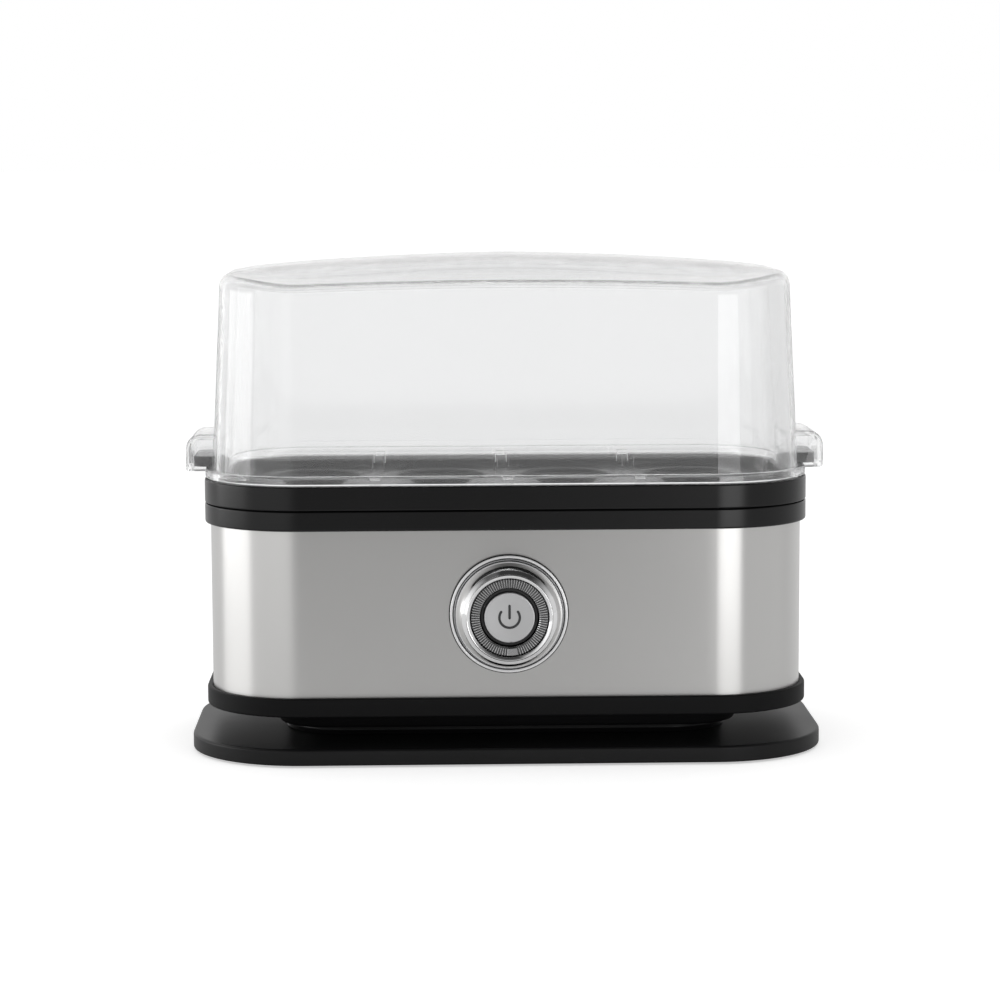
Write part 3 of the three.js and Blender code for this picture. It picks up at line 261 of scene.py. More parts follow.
def plan(outline, side_steps=1):
    """Corner-rounded rectangle, counter-clockwise seen from above. Its long sides have side_steps parts."""
    width, depth, corner = outline
    points = []
    for quarter, (sx, sy) in enumerate(((1, 1), (-1, 1), (-1, -1), (1, -1))):
        for step in range(CORNER_STEPS + 1):
            angle = (quarter + step / CORNER_STEPS) * math.pi / 2
            points.append((sx * (width / 2 - corner) + corner * math.cos(angle),
                           sy * (depth / 2 - corner) + corner * math.sin(angle)))
        if quarter % 2 == 0:
            last = sx * (width / 2 - corner)
            for step in range(1, side_steps):
                points.append((last * (1 - 2 * step / side_steps), sy * depth / 2))
    return points


def ring_at(outline, z, side_steps=1):
    return [(x, y, z) for x, y in plan(outline, side_steps)]


def soften(section, radius, closed=True, steps=4):
    """Rounds the corners of a section. radius is one value or one for each point."""
    count = len(section)
    radii = radius if isinstance(radius, (list, tuple)) else [radius] * count
    most_share = 0.45
    result = []
    for i, point in enumerate(section):
        if not closed and i in (0, count - 1) or radii[i] <= 0:
            result.append(tuple(point))
            continue
        p = Vector(point)
        before = Vector(section[i - 1]) - p
        after = Vector(section[(i + 1) % count]) - p
        reach = min(radii[i], most_share * before.length, most_share * after.length)
        a, b = p + before.normalized() * reach, p + after.normalized() * reach
        for step in range(steps + 1):
            t = step / steps
            q = a * (1 - t) ** 2 + p * 2 * t * (1 - t) + b * t ** 2
            result.append((q.x, q.y))
    return result


# Meshes


def add_object(name, data):
    obj = bpy.data.objects.new(name, data)
    bpy.context.collection.objects.link(obj)
    return obj


def build(name, points, faces, uvs=None):
    mesh = bpy.data.meshes.new(name)
    mesh.from_pydata(points, [], faces)
    if uvs:
        layer = mesh.uv_layers.new(name="UVMap")
        for loop_index, uv in enumerate(uvs):
            layer.data[loop_index].uv = uv
    mesh.validate()
    return add_object(name, mesh)


def skin(name, rings, loop):
    """Skin through rings of equal count, closed on itself or with a cap at each end."""
    count = len(rings[0])
    points = shift([p for ring in rings for p in ring])
    along = [0.0]
    for a, b in zip(rings[0], rings[0][1:] + rings[0][:1]):
        along.append(along[-1] + math.dist(a, b) * MM)
    across = [0.0]
    for low, high in zip(rings, rings[1:] + rings[:1]):
        across.append(across[-1] + math.dist(low[0], high[0]) * MM)
    faces, uvs = [], []
    for level in range(len(rings) if loop else len(rings) - 1):
        low, high = level * count, (level + 1) % len(rings) * count
        for side in range(count):
            after = (side + 1) % count
            faces.append((low + side, low + after, high + after, high + side))
            uvs += [(along[side], across[level]), (along[side + 1], across[level]),
                    (along[side + 1], across[level + 1]), (along[side], across[level + 1])]
    if not loop:
        last = (len(rings) - 1) * count
        for cap in (list(range(count))[::-1], [last + side for side in range(count)]):
            faces.append(cap)
            uvs += [(points[i][0], points[i][1]) for i in cap]
    return build(name, points, faces, uvs)


def band(name, outline, section, side_steps=1):
    """Ring that follows an outline. Its section is [inset, height] pairs."""
    return skin(name, [ring_at(inset(outline, a), z, side_steps) for a, z in section], True)


def cup(name, outline, section):
    """Solid that follows an outline, closed by a cap at each end of its section."""
    return skin(name, [ring_at(inset(outline, a), z) for a, z in section], False)


def turned(name, profile, at, axis="Z", sides=RING_SIDES, ripple=None):
    """Turned solid from [radius, height] pairs. at is a point on its axis; ripple moves points."""
    rings = []
    for index, (radius, height) in enumerate(profile):
        ring = []
        for side in range(sides):
            angle = side / sides * 2 * math.pi
            r, h = (radius, height) if ripple is None else ripple(index, side, radius, height)
            u, v = r * math.cos(angle), r * math.sin(angle)
            ring.append({"Z": (at[0] + u, at[1] + v, at[2] + h), "Y": (at[0] + u, at[1] - h, at[2] + v),
                         "-Y": (at[0] - u, at[1] + h, at[2] + v)}[axis])
        rings.append(ring)
    closed = math.dist(profile[0], profile[-1]) < 1e-6
    return skin(name, rings[:-1] if closed else rings, closed)


def rod(radius, low, high, x, y, sides=COARSE_SIDES):
    return turned("tool", [(radius, low), (radius, high)], (x, y, 0), sides=sides)


def block(x0, x1, y0, y1, z0, z1):
    points = [(x, y, z) for z in (z0, z1) for y in (y0, y1) for x in (x0, x1)]
    faces = [(0, 2, 3, 1), (4, 5, 7, 6), (0, 1, 5, 4), (2, 6, 7, 3), (0, 4, 6, 2), (1, 3, 7, 5)]
    return build("tool", shift(points), faces)


def along_depth(name, outline, y0, y1, mirror=False):
    """Flat outline in the X-Z plane run along Y."""
    if mirror:
        outline = [(-x, z) for x, z in outline][::-1]
    points = [(x, y0, z) for x, z in outline] + [(x, y1, z) for x, z in outline]
    n = len(outline)
    faces = [tuple(range(n)), tuple(range(2 * n - 1, n - 1, -1))]
    faces += [(i, i + n, (i + 1) % n + n, (i + 1) % n) for i in range(n)]
    return build(name, shift(points), faces)


def along_width(name, outline, x0, x1, wall):
    """Flat outline in the Y-Z plane run along X, at the rear for a wall of 1 and at the front for -1."""
    points = [(x, wall * y, z) for x in (x0, x1) for y, z in outline]
    n = len(outline)
    faces = [tuple(range(n - 1, -1, -1)), tuple(range(n, 2 * n))]
    faces += [(i, (i + 1) % n, (i + 1) % n + n, i + n) for i in range(n)]
    return build(name, shift(points), [face[::wall] for face in faces])


def settled_mesh(obj):
    return bpy.data.meshes.new_from_object(obj.evaluated_get(bpy.context.evaluated_depsgraph_get()))


def settle(obj):
    """Turns what the modifiers make into the mesh itself."""
    bpy.context.view_layer.update()
    mesh = settled_mesh(obj)
    obj.modifiers.clear()
    obj.data = mesh
    return obj


def combine(obj, tools, operation):
    for tool in tools:
        modifier = obj.modifiers.new("combine", "BOOLEAN")
        modifier.operation = operation
        modifier.solver = "EXACT"
        modifier.object = tool
    settle(obj)
    for tool in tools:
        bpy.data.objects.remove(tool)
    return obj


def cut(obj, *tools):
    return combine(obj, tools, "DIFFERENCE")


def join(obj, *tools):
    return combine(obj, tools, "UNION")


def bevel(obj, width, segments=3, angle=35):
    modifier = obj.modifiers.new("bevel", "BEVEL")
    modifier.width = width * MM
    modifier.segments = segments
    modifier.limit_method = "ANGLE"
    modifier.angle_limit = math.radians(angle)
    modifier.use_clamp_overlap = True
    return settle(obj)


def show(obj, name, material, body, nodes=(), angle=38):
    """Names a piece, gives it its finish and lets it stand for CAD nodes."""
    obj.name = name
    obj.data.materials.clear()
    obj.data.materials.append(material)
    obj.data.shade_smooth()
    obj.data.set_sharp_from_angle(angle=math.radians(angle))
    normals = obj.modifiers.new("normals", "WEIGHTED_NORMAL")
    normals.keep_sharp = True
    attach(obj, body)
    if nodes:
        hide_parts(*nodes)


# Materials. A value given to a node is a plain value or another node's output.


def put(tree, value, socket):
    if isinstance(value, bpy.types.NodeSocket):
        tree.links.new(value, socket)
    else:
        socket.default_value = value


def add_node(tree, kind, inputs=None, **settings):
    made = tree.nodes.new(kind)
    for key, value in settings.items():
        setattr(made, key, value)
    for key, value in (inputs or {}).items():
        put(tree, value, made.inputs[key])
    return made


def maths(tree, operation, *values):
    return add_node(tree, "ShaderNodeMath", dict(enumerate(values)), operation=operation).outputs[0]


def blend(tree, factor, first, second):
    return add_node(tree, "ShaderNodeMix", {0: factor, 2: first, 3: second}, data_type="FLOAT").outputs[0]


def blend_colours(tree, factor, first, second):
    return add_node(tree, "ShaderNodeMix", {0: factor, 6: first, 7: second}, data_type="RGBA").outputs[2]


def noise(tree, coordinates, scale, stretch, detail):
    mapping = add_node(tree, "ShaderNodeMapping", {"Scale": stretch, "Vector": coordinates})
    inputs = {"Scale": scale, "Detail": detail, "Vector": mapping.outputs["Vector"]}
    return add_node(tree, "ShaderNodeTexNoise", inputs).outputs["Fac"]


def spread(tree, value, low, high, start=0.3, end=0.7):
    """Maps a value from start and end to low and high."""
    inputs = {"Value": value, "From Min": start, "From Max": end, "To Min": low, "To Max": high}
    return add_node(tree, "ShaderNodeMapRange", inputs).outputs["Result"]


def surface(name, colour, roughness, metallic=0.0, variation=0.06, rough_spread=0.05, cloud=14.0,
            grain=1600.0, grain_depth=2e-6, stretch=(1, 1, 1), space="Object", sockets=None):
    """A shader with clouded colour and roughness and a fine grain in relief."""
    material = bpy.data.materials.new(name)
    material.use_nodes = True
    tree = material.node_tree
    shader = tree.nodes["Principled BSDF"]
    shader.inputs["Metallic"].default_value = metallic
    for key, value in (sockets or {}).items():
        shader.inputs[key].default_value = value
    where = add_node(tree, "ShaderNodeTexCoord").outputs[space]
    clouds = noise(tree, where, cloud, (1, 1, 1), 5.0)
    fine = noise(tree, where, grain, stretch, 2.0)
    dark = [c * (1 - variation) for c in colour]
    light = [min(c * (1 + variation), 1) for c in colour]
    clouded = blend_colours(tree, spread(tree, clouds, 0, 1), (*dark, 1), (*light, 1))
    put(tree, clouded, shader.inputs["Base Color"])
    rough = maths(tree, "ADD", spread(tree, clouds, roughness - rough_spread, roughness + rough_spread),
                  spread(tree, fine, -rough_spread / 2, rough_spread / 2))
    put(tree, rough, shader.inputs["Roughness"])
    relief = add_node(tree, "ShaderNodeBump", {"Strength": 1.0, "Distance": grain_depth, "Height": fine})
    put(tree, relief.outputs["Normal"], shader.inputs["Normal"])
    return material


def silver_with_painted_tick_shade():
    """Silver with painted shade in the groove of each tick, all round but for the plain place at the bottom,
    which is darkened evenly half way to the same shade.
    """
    material = surface("tick_shaded_silver", (0.66, 0.66, 0.665), 0.26, 1.0, variation=0.03, rough_spread=0.04,
                       grain=5000.0, grain_depth=6e-7)
    plain_at, plain_half = math.radians(-85), math.radians(8)
    deepest_tick_shade, plain_dark, tick_shade_colour = 0.8, 0.5, (0.05, 0.05, 0.05, 1)
    tree = material.node_tree
    colour = tree.nodes["Principled BSDF"].inputs["Base Color"]
    where = add_node(tree, "ShaderNodeTexCoord").outputs["Object"]
    parts = add_node(tree, "ShaderNodeSeparateXYZ", {0: where})
    height = maths(tree, "SUBTRACT", parts.outputs["Z"], DIAL_Z * MM)
    angle = maths(tree, "ARCTAN2", height, parts.outputs["X"])
    wave = maths(tree, "COSINE", maths(tree, "MULTIPLY_ADD", angle, TICKS, -math.pi / 4))
    plain = maths(tree, "COMPARE", angle, plain_at, plain_half)
    # Painted shade: a dark line down the middle of each tick's groove, and an even half-dark over the plain
    # place.
    dark = blend(tree, plain, spread(tree, wave, 0, deepest_tick_shade, -0.5, 0.5), plain_dark)
    put(tree, blend_colours(tree, dark, colour.links[0].from_socket, tick_shade_colour), colour)
    return material


black = surface("black_plastic", (0.0035, 0.0035, 0.0037), 0.25, variation=0.2, rough_spread=0.015,
                grain=2600.0, grain_depth=4e-8, sockets={"Specular IOR Level": 0.3})
satin_black = surface("satin_black_plastic", (0.0040, 0.0040, 0.0043), 0.4, variation=0.2,
                      rough_spread=0.03, grain=3200.0, grain_depth=6e-7,
                      sockets={"Specular IOR Level": 0.25})
pan_black = surface("pan_black_plastic", (0.0040, 0.0040, 0.0043), 0.5, variation=0.2, rough_spread=0.03,
                    grain=3200.0, grain_depth=6e-7, sockets={"Specular IOR Level": 0.12})
dark_inside = surface("inner_black_plastic", (0.015, 0.015, 0.016), 0.5, variation=0.2)
steel = surface("satin_steel", (0.63, 0.625, 0.615), 0.31, 1.0, variation=0.03, rough_spread=0.03,
                cloud=9.0, grain=9000.0, grain_depth=1.0e-6, stretch=(0.012, 1, 1), space="UV",
                sockets={"Anisotropic": 0.8, "Anisotropic Rotation": 0.25})
chrome = surface("chrome_plate", (0.88, 0.88, 0.885), 0.05, 1.0, variation=0.02, rough_spread=0.015,
                 grain=900.0, grain_depth=3e-8)
# Only partly metallic: the pale matt share is painted sheen that keeps the bead bright all round, and the
# rest is real satin metal.
bead_metal_and_sheen = surface("satin_and_painted_sheen", (0.88, 0.88, 0.885), 0.24, 0.4, variation=0.02, rough_spread=0.02,
                     grain=900.0, grain_depth=3e-8)
silver = surface("satin_silver", (0.55, 0.55, 0.555), 0.36, 0.9, variation=0.03, rough_spread=0.03,
                 grain=5000.0, grain_depth=1.5e-6)
tick_shaded_silver = silver_with_painted_tick_shade()
clear = surface("clear_plastic", (0.985, 0.988, 0.99), 0.02, variation=0.004, rough_spread=0.012,
                grain=500.0, grain_depth=1e-8,
                sockets={"Transmission Weight": 0.963, "IOR": 1.49, "Alpha": 0.85})
# Painted highlight: pale, half-clear plastic for the strips beside the tongues, standing in for the light
# lines along their edges.
painted_edge_light = surface("painted_edge_highlight", (0.95, 0.95, 0.95), 0.4, variation=0.01, grain=2000.0,
                  sockets={"Transmission Weight": 0.3, "IOR": 1.49})
rubber = surface("rubber_black", (0.022, 0.022, 0.022), 0.8, variation=0.25, grain=1500.0,
                 grain_depth=6e-6)
silicone = surface("silicone", (0.60, 0.60, 0.61), 0.65, variation=0.05, grain_depth=3e-6)
aluminium = surface("bowl_aluminium", (0.60, 0.60, 0.61), 0.38, 1.0, variation=0.08, rough_spread=0.08,
                    cloud=30.0, grain_depth=3e-6)
zinc = surface("zinc_steel", (0.50, 0.50, 0.51), 0.35, 1.0, variation=0.1, rough_spread=0.08, cloud=120.0)
board = surface("board_green", (0.025, 0.13, 0.045), 0.4, variation=0.15, cloud=60.0, grain=700.0)
component = surface("component_blue", (0.02, 0.045, 0.10), 0.4, variation=0.1)
nylon = surface("nylon_cream", (0.72, 0.69, 0.60), 0.5, variation=0.05, grain_depth=4e-6)
wire_red = surface("wire_red", (0.32, 0.03, 0.02), 0.5, variation=0.08)
mark_dark = surface("mark_dark", (0.03, 0.03, 0.032), 0.5, variation=0.1)

by_slot = {
    "black_plastic": dark_inside, "clear_plastic": clear, "satin_steel": steel, "chrome_plate": chrome,
    "satin_silver": silver, "rubber_black": rubber, "silicone": silicone, "bowl_aluminium": aluminium,
    "zinc_steel": zinc, "board_green": board, "component_blue": component, "nylon_cream": nylon,
    "wire_red": wire_red,
}
for entry in frame["record"]["subparts"]:
    node = frame["nodes"][entry["node"]]
    if not node.material_slots:
        node.data.materials.append(by_slot[entry["material_slot"]])
    for material_slot in node.material_slots:
        material_slot.material = by_slot[entry["material_slot"]]


# Pieces of the base and the body. rounds is the radius at each point of a section or profile.


def corners(x, y):
    return [(-x, -y), (x, -y), (x, y), (-x, y)]


def bowl_screw_places():
    x, y = BOWL_RIM[0] / 2 - BOWL_SCREW_INSET, BOWL_RIM[1] / 2 - BOWL_SCREW_INSET
    return [(-x, 0), (x, 0), (0, -y), (0, y)]


def base_plate():
    outline = inset(BODY, -BASE_OVERHANG)
    under, over = 1.5, 3.0
    section = [(under, FOOT_PROUD), (0, FOOT_PROUD), (0, PLATE_TOP), (over, PLATE_TOP)]
    rounds = [0, 0.8, 1.1, 0]
    plate = cup("plate", outline, soften(section, rounds, closed=False, steps=5))
    neck_root, neck_round = 0.5, 0.4
    section = [(-NECK_FLARE, PLATE_TOP + CLIP), (0, PLATE_TOP + NECK_FLARE), (0, NECK_TOP)]
    foot = [(-NECK_FLARE, PLATE_TOP - neck_root), (-NECK_FLARE, PLATE_TOP)]
    join(plate, cup("neck", NECK, foot + soften(section, neck_round, closed=False)))
    seats = [rod(FOOT_BOSS, FOOT_PROUD, PLATE_TOP - BOSS_ROOT, x, y, FINE_SIDES)
             for x, y in corners(*FOOT_AT)]
    open_end = FOOT_PROUD - OVERRUN
    pocket = cup("pocket", inset(outline, PLATE_WALL), [(0, open_end), (0, PLATE_TOP - PLATE_SKIN)])
    neck_pocket = cup("pocket", inset(NECK, NECK_WALL), [(0, open_end), (0, NECK_TOP - NECK_WALL)])
    cut(plate, pocket, neck_pocket)
    join(plate, *seats)
    holes = []
    for x, y in corners(*FOOT_AT):
        holes += [rod(FOOT_HOLE, open_end, FOOT_PROUD + FOOT_SEAT, x, y, FINE_SIDES),
                  rod(STEM_HOLE, FOOT_PROUD, STEM_HOLE_TOP, x, y)]
    holes += [rod(SCREW_HOLE, FOOT_PROUD, NECK_TOP + OVERRUN, x, y) for x, y in corners(*BASE_SCREW_AT)]
    cut(plate, *holes)
    show(plate, "base_plate_moulding", satin_black, "housing", ["base_plate"])


def feet():
    core, dish_core, dish_top, dish_edge, dish_rise = 0.5, 0.4, 4.6, 5.2, 0.35
    section = [(core, 0), (FOOT_RADIUS, 0), (FOOT_RADIUS, FOOT_TOP), (STEM_RADIUS, FOOT_TOP),
               (STEM_RADIUS, STEM_TOP), (core, STEM_TOP)]
    rounds = [0, 0.9, 0.2, 0, 0.3, 0]
    dish = soften([(dish_core, dish_rise), (dish_top, dish_rise), (dish_edge, 0)], [0, 0.4, 0], closed=False)
    profile = dish + soften(section, rounds, closed=False)[1:]
    for index, (x, y) in enumerate(corners(*FOOT_AT), 1):
        foot = turned("foot", profile, (x, y, 0), sides=FINE_SIDES)
        show(foot, f"rubber_foot_{index}", rubber, "housing", [f"foot_{index}"])


def bottom_pan():
    lap, well_lap, well_round = 2.0, 3.0, 1.2
    shelf, rim_top = BEZEL_BOTTOM + PAN_FLOOR, BEZEL_TOP + OVERRUN
    section = [(lap, BEZEL_BOTTOM), (0, BEZEL_BOTTOM), (0, BEZEL_TOP), (PAN_RIM, BEZEL_TOP), (PAN_RIM, shelf)]
    rounds = [0, 0.9, 0.6, 0.3, 0.5]
    pan = cup("pan", BODY, soften(section, rounds, closed=False, steps=5))
    section = [(WELL_DRAFT + well_lap, PAN_BOTTOM), (WELL_DRAFT, PAN_BOTTOM), (0, BEZEL_BOTTOM),
               (0, BEZEL_BOTTOM + OVERRUN)]
    join(pan, cup("well", WELL, soften(section, [0, well_round, 0, 0], closed=False, steps=5)))
    hollow = [(WELL_DRAFT, PAN_BOTTOM + PAN_FLOOR), (0, shelf), (0, shelf + OVERRUN)]
    cut(pan, cup("hollow", inset(WELL, PAN_WALL), hollow))
    low = BEZEL_TOP - SLEEVE_SINK - SEAT_GAP
    groove = band("groove", BODY, [(GROOVE_OUT, low), (GROOVE_OUT, rim_top), (GROOVE_IN, rim_top),
                                   (GROOVE_IN, low)])
    body_screws, base_screws = corners(*BODY_SCREW_AT), corners(*BASE_SCREW_AT)
    root = PAN_BOTTOM + BOSS_ROOT
    bosses = [rod(BOSS_RADIUS, BEZEL_BOTTOM + BOSS_ROOT, BODY_BOSS_TOP, x, y, MEDIUM_SIDES)
              for x, y in body_screws]
    bosses += [rod(BOSS_RADIUS, root, BASE_BOSS_TOP, x, y, MEDIUM_SIDES) for x, y in base_screws]
    bosses += [rod(CLAMP_POST, root, CLAMP_TOP, GLAND_X + side * CLAMP_HALF, CLAMP_Y, MEDIUM_SIDES)
               for side in (-1, 1)]
    bosses.append(block(GLAND_X - CLAMP_HALF, GLAND_X + CLAMP_HALF, *SADDLE_Y, root, SADDLE_TOP))
    join(pan, *bosses)
    holes = [groove]
    for x, y in body_screws:
        holes += [rod(HEAD_HOLE, BEZEL_BOTTOM - OVERRUN, BEZEL_BOTTOM + HEAD_SINK, x, y, MEDIUM_SIDES),
                  rod(SCREW_HOLE, BEZEL_BOTTOM, BODY_BOSS_TOP + OVERRUN, x, y)]
    holes += [rod(SCREW_HOLE, PAN_BOTTOM - OVERRUN, BASE_HOLE_TOP, x, y) for x, y in base_screws]
    cut(pan, *holes)
    show(pan, "bottom_pan_moulding", pan_black, "housing", ["bottom_pan"])


def steel_sleeve():
    low, high = BEZEL_TOP - SLEEVE_SINK, DECK_BOTTOM - SEAT_GAP
    inner, edge_round, long_steps, through = SLEEVE_INSET + SLEEVE_THICK, 0.15, 40, 2.0
    section = [(SLEEVE_INSET, low), (SLEEVE_INSET, high), (inner, high), (inner, low)]
    sleeve = band("sleeve", BODY, soften(section, edge_round, steps=2), long_steps)
    hole = turned("tool", [(BEARING_HOLE, -through), (BEARING_HOLE, through)], (0, SLEEVE_FRONT, DIAL_Z), "Y")
    gland = turned("tool", [(GLAND_HOLE, -through), (GLAND_HOLE, through)], (GLAND_X, SLEEVE_REAR, GLAND_Z),
                   "Y", FINE_SIDES)
    cut(sleeve, hole, gland)
    show(sleeve, "steel_wrap", steel, "housing", ["steel_sleeve"], 30)


def top_collar():
    step, rib, rib_foot = DECK_TOP - OVERRUN, GROOVE_IN + COLLAR_RIB, DECK_BOTTOM - COLLAR_RIB_TALL
    section = [(0, COLLAR_BOTTOM), (0, COLLAR_TOP), (COLLAR_WALL, COLLAR_TOP), (COLLAR_WALL, DECK_TOP),
               (COLLAR_WALL, step), (rib, step), (rib, rib_foot), (GROOVE_IN, rib_foot),
               (GROOVE_IN, DECK_BOTTOM), (GROOVE_OUT, DECK_BOTTOM), (GROOVE_OUT, COLLAR_BOTTOM)]
    rounds = [1.5, 0.45, 0.4, 0.3, 0, 0, 0.3, 0.2, 0, 0, 0.1]
    collar = band("collar", BODY, soften(section, rounds, steps=5))
    over, inside = DECK_BOTTOM + OVERRUN, DECK_TOP + OVERRUN
    deck = cup("deck", inset(BODY, COLLAR_WALL - CLIP), [(0, DECK_BOTTOM), (0, DECK_TOP)])
    cut(deck, cup("tool", inset(BOWL_RIM, BOWL_FLANGE - DECK_LAP), [(0, DECK_BOTTOM - OVERRUN), (0, inside)]))
    bosses = [rod(BOWL_BOSS, DECK_BOTTOM - BOWL_BOSS_TALL, over, x, y, MEDIUM_SIDES)
              for x, y in bowl_screw_places()]
    bosses += [rod(POST_RADIUS, BODY_BOSS_TOP + SEAT_GAP, over, x, y, MEDIUM_SIDES)
               for x, y in corners(*BODY_SCREW_AT)]
    join(collar, deck, *bosses)
    holes = [rod(BOWL_SCREW_HOLE, DECK_BOTTOM - BOWL_HOLE_DEEP, inside, x, y) for x, y in bowl_screw_places()]
    holes += [rod(SCREW_HOLE, POST_HOLE_LOW, POST_HOLE_TOP, x, y) for x, y in corners(*BODY_SCREW_AT)]
    cut(collar, *holes)
    show(collar, "top_collar_moulding", black, "housing", ["top_collar"])


def water_bowl():
    mouth, foot, bottom = BOWL_FLANGE, BOWL_FLANGE + BOWL_TAPER, BOWL_BOTTOM + BOWL_SHEET
    under_flat, inside_flat = 4.0, 6.0
    section = [(foot + under_flat, BOWL_BOTTOM), (foot, BOWL_BOTTOM), (mouth, FLANGE_BOTTOM),
               (0, FLANGE_BOTTOM), (0, FLANGE_TOP), (mouth + BOWL_SHEET, FLANGE_TOP),
               (foot + BOWL_SHEET, bottom), (foot + inside_flat, bottom)]
    rounds = [0, 4, 1.2, 0.4, 0.4, 2, 4.5, 0]
    bowl = cup("bowl", BOWL_RIM, soften(section, rounds, closed=False, steps=6))
    studs = [rod(STUD_RADIUS, BOWL_BOTTOM - STUD_TALL, BOWL_BOTTOM + STUD_ROOT, side * STUD_X, 0)
             for side in (-1, 1)]
    join(bowl, *studs)
    cut(bowl, *[rod(BOWL_SCREW_HOLE, FLANGE_BOTTOM - OVERRUN, FLANGE_TOP + OVERRUN, x, y)
                for x, y in bowl_screw_places()])
    show(bowl, "pressed_bowl", aluminium, "housing", ["water_bowl"])


def screw(seat, size, x, y, way):
    """A pan-head screw with a cross recess, whose shank points up for a way of 1 and down for -1."""
    shank, head, tall, length = size
    core, recess_clear = 0.3, 0.5
    arm, thin, deep = head * 0.55, head * 0.11, tall * 0.7
    profile = [(core, way * length), (shank, way * length), (shank, 0), (head, 0), (head, -way * tall),
               (core, -way * tall)]
    rounds = [0, 0.5, 0.2, 0.2, 0.9, 0]
    profile = [(r, seat + h) for r, h in soften(profile, rounds, closed=False)]
    piece = turned("screw", profile, (x, y, 0), sides=MEDIUM_SIDES)
    top = seat - way * tall
    span = sorted((top + way * deep, top - way * recess_clear))
    recess = block(x - arm, x + arm, y - thin, y + thin, *span)
    join(recess, block(x - thin, x + thin, y - arm, y + arm, *span))
    return cut(piece, recess)


def screws():
    kinds = (("bowl", FLANGE_TOP + SEAT_GAP, BOWL_SCREW, bowl_screw_places(), -1),
             ("body", BEZEL_BOTTOM + BODY_SCREW_SINK, BODY_SCREW, corners(*BODY_SCREW_AT), 1),
             ("base", BASE_SCREW_SEAT, BASE_SCREW, corners(*BASE_SCREW_AT), 1))
    for kind, seat, size, places, way in kinds:
        for index, (x, y) in enumerate(places, 1):
            piece = screw(seat, size, x, y, way)
            show(piece, f"{kind}_fastener_{index}", zinc, "housing",
                 [f"{kind}_screw_{index}"])


def cord_gland():
    profile = [(GLAND_BORE, GLAND_FACE), (GLAND_FLANGE, GLAND_FACE), (GLAND_FLANGE, SEAT_GAP),
               (GLAND_NECK, SEAT_GAP), (GLAND_NECK, GLAND_INSIDE), (GLAND_GRIP, GLAND_INSIDE),
               (GLAND_NECK, GLAND_END), (GLAND_BORE, GLAND_END)]
    profile = soften(profile, [0.5, 1.1, 0.2, 0.1, 0.1, 0.3, 0.2, 0.2])
    gland = turned("gland", profile + profile[:1], (GLAND_X, SLEEVE_REAR, GLAND_Z), "-Y")
    show(gland, "cord_grommet", rubber, "housing", ["cord_gland"])


# The dial and its button. A profile is [radius, reach] pairs.


def dial():
    at, knob_sides, shadow_ring_sides, ticks_per = (0, SLEEVE_FRONT, DIAL_Z), 180, 120, 4
    # A black ring behind the bead, as wide as the knob: a dark sheet that paints the contact shadow round the
    # dial's edge.
    skirt = soften([(17.9, 0.1), (21.33, 0.1), (21.33, 0.85), (17.9, 0.85)], 0.2, steps=3)
    skirt = turned("skirt", skirt + skirt[:1], at, "Y", shadow_ring_sides)
    show(skirt, "dial_shadow_ring", black, "dial")
    bead = soften([(20.0, 0.9), (20.95, 0.9), (20.95, 1.95), (20.0, 1.95)], [0.1, 0.3, 0.5, 0.45], steps=5)
    bead = turned("bead", bead + bead[:1], at, "Y", knob_sides)
    show(bead, "dial_bead", bead_metal_and_sheen, "dial")
    profile = [(19.65, 0.9), (19.65, 1.2), (19.35, 1.4), (19.0, 4.2), (18.0, 7.4), (16.75, 9.2),
               (15.4, 10.05), (15.2, 10.75), (14.0, 10.2), (13.8, 7.8), (10.5, 7.8), (10.5, 6.0),
               (13.8, 6.0), (17.4, 1.5), (17.4, 0.9)]
    rounds = [0.1, 0.1, 0.1, 1.4, 1.4, 0.3, 0.25, 0.3, 0.4] + [0.2] * 6
    profile = soften(profile, rounds, steps=6)
    knob = turned("knob", profile + profile[:1], at, "Y", knob_sides)
    show(knob, "chrome_dial", chrome, "dial", ["dial_knob"], 32)
    face, tick_deep, plain_from, plain_to = 9.7, 0.45, 0.74, 0.787
    profile = [(10.5, 8.05), (13.6, 8.05), (13.6, face - 0.3), (13.45, face), (11.1, face),
               (10.5, face - 0.5)]
    face_points = (3, 4)

    def ticked(index, side, radius, height):
        plain = plain_from < side / (TICKS * ticks_per) < plain_to
        lowered = side % ticks_per in (0, 1) and index in face_points and not plain
        return (radius, height - (tick_deep if lowered else 0))

    ring = turned("ticks", profile + profile[:1], at, "Y", TICKS * ticks_per, ticked)
    show(ring, "tick_ring", tick_shaded_silver, "dial", ["dial_tick_ring"], 20)


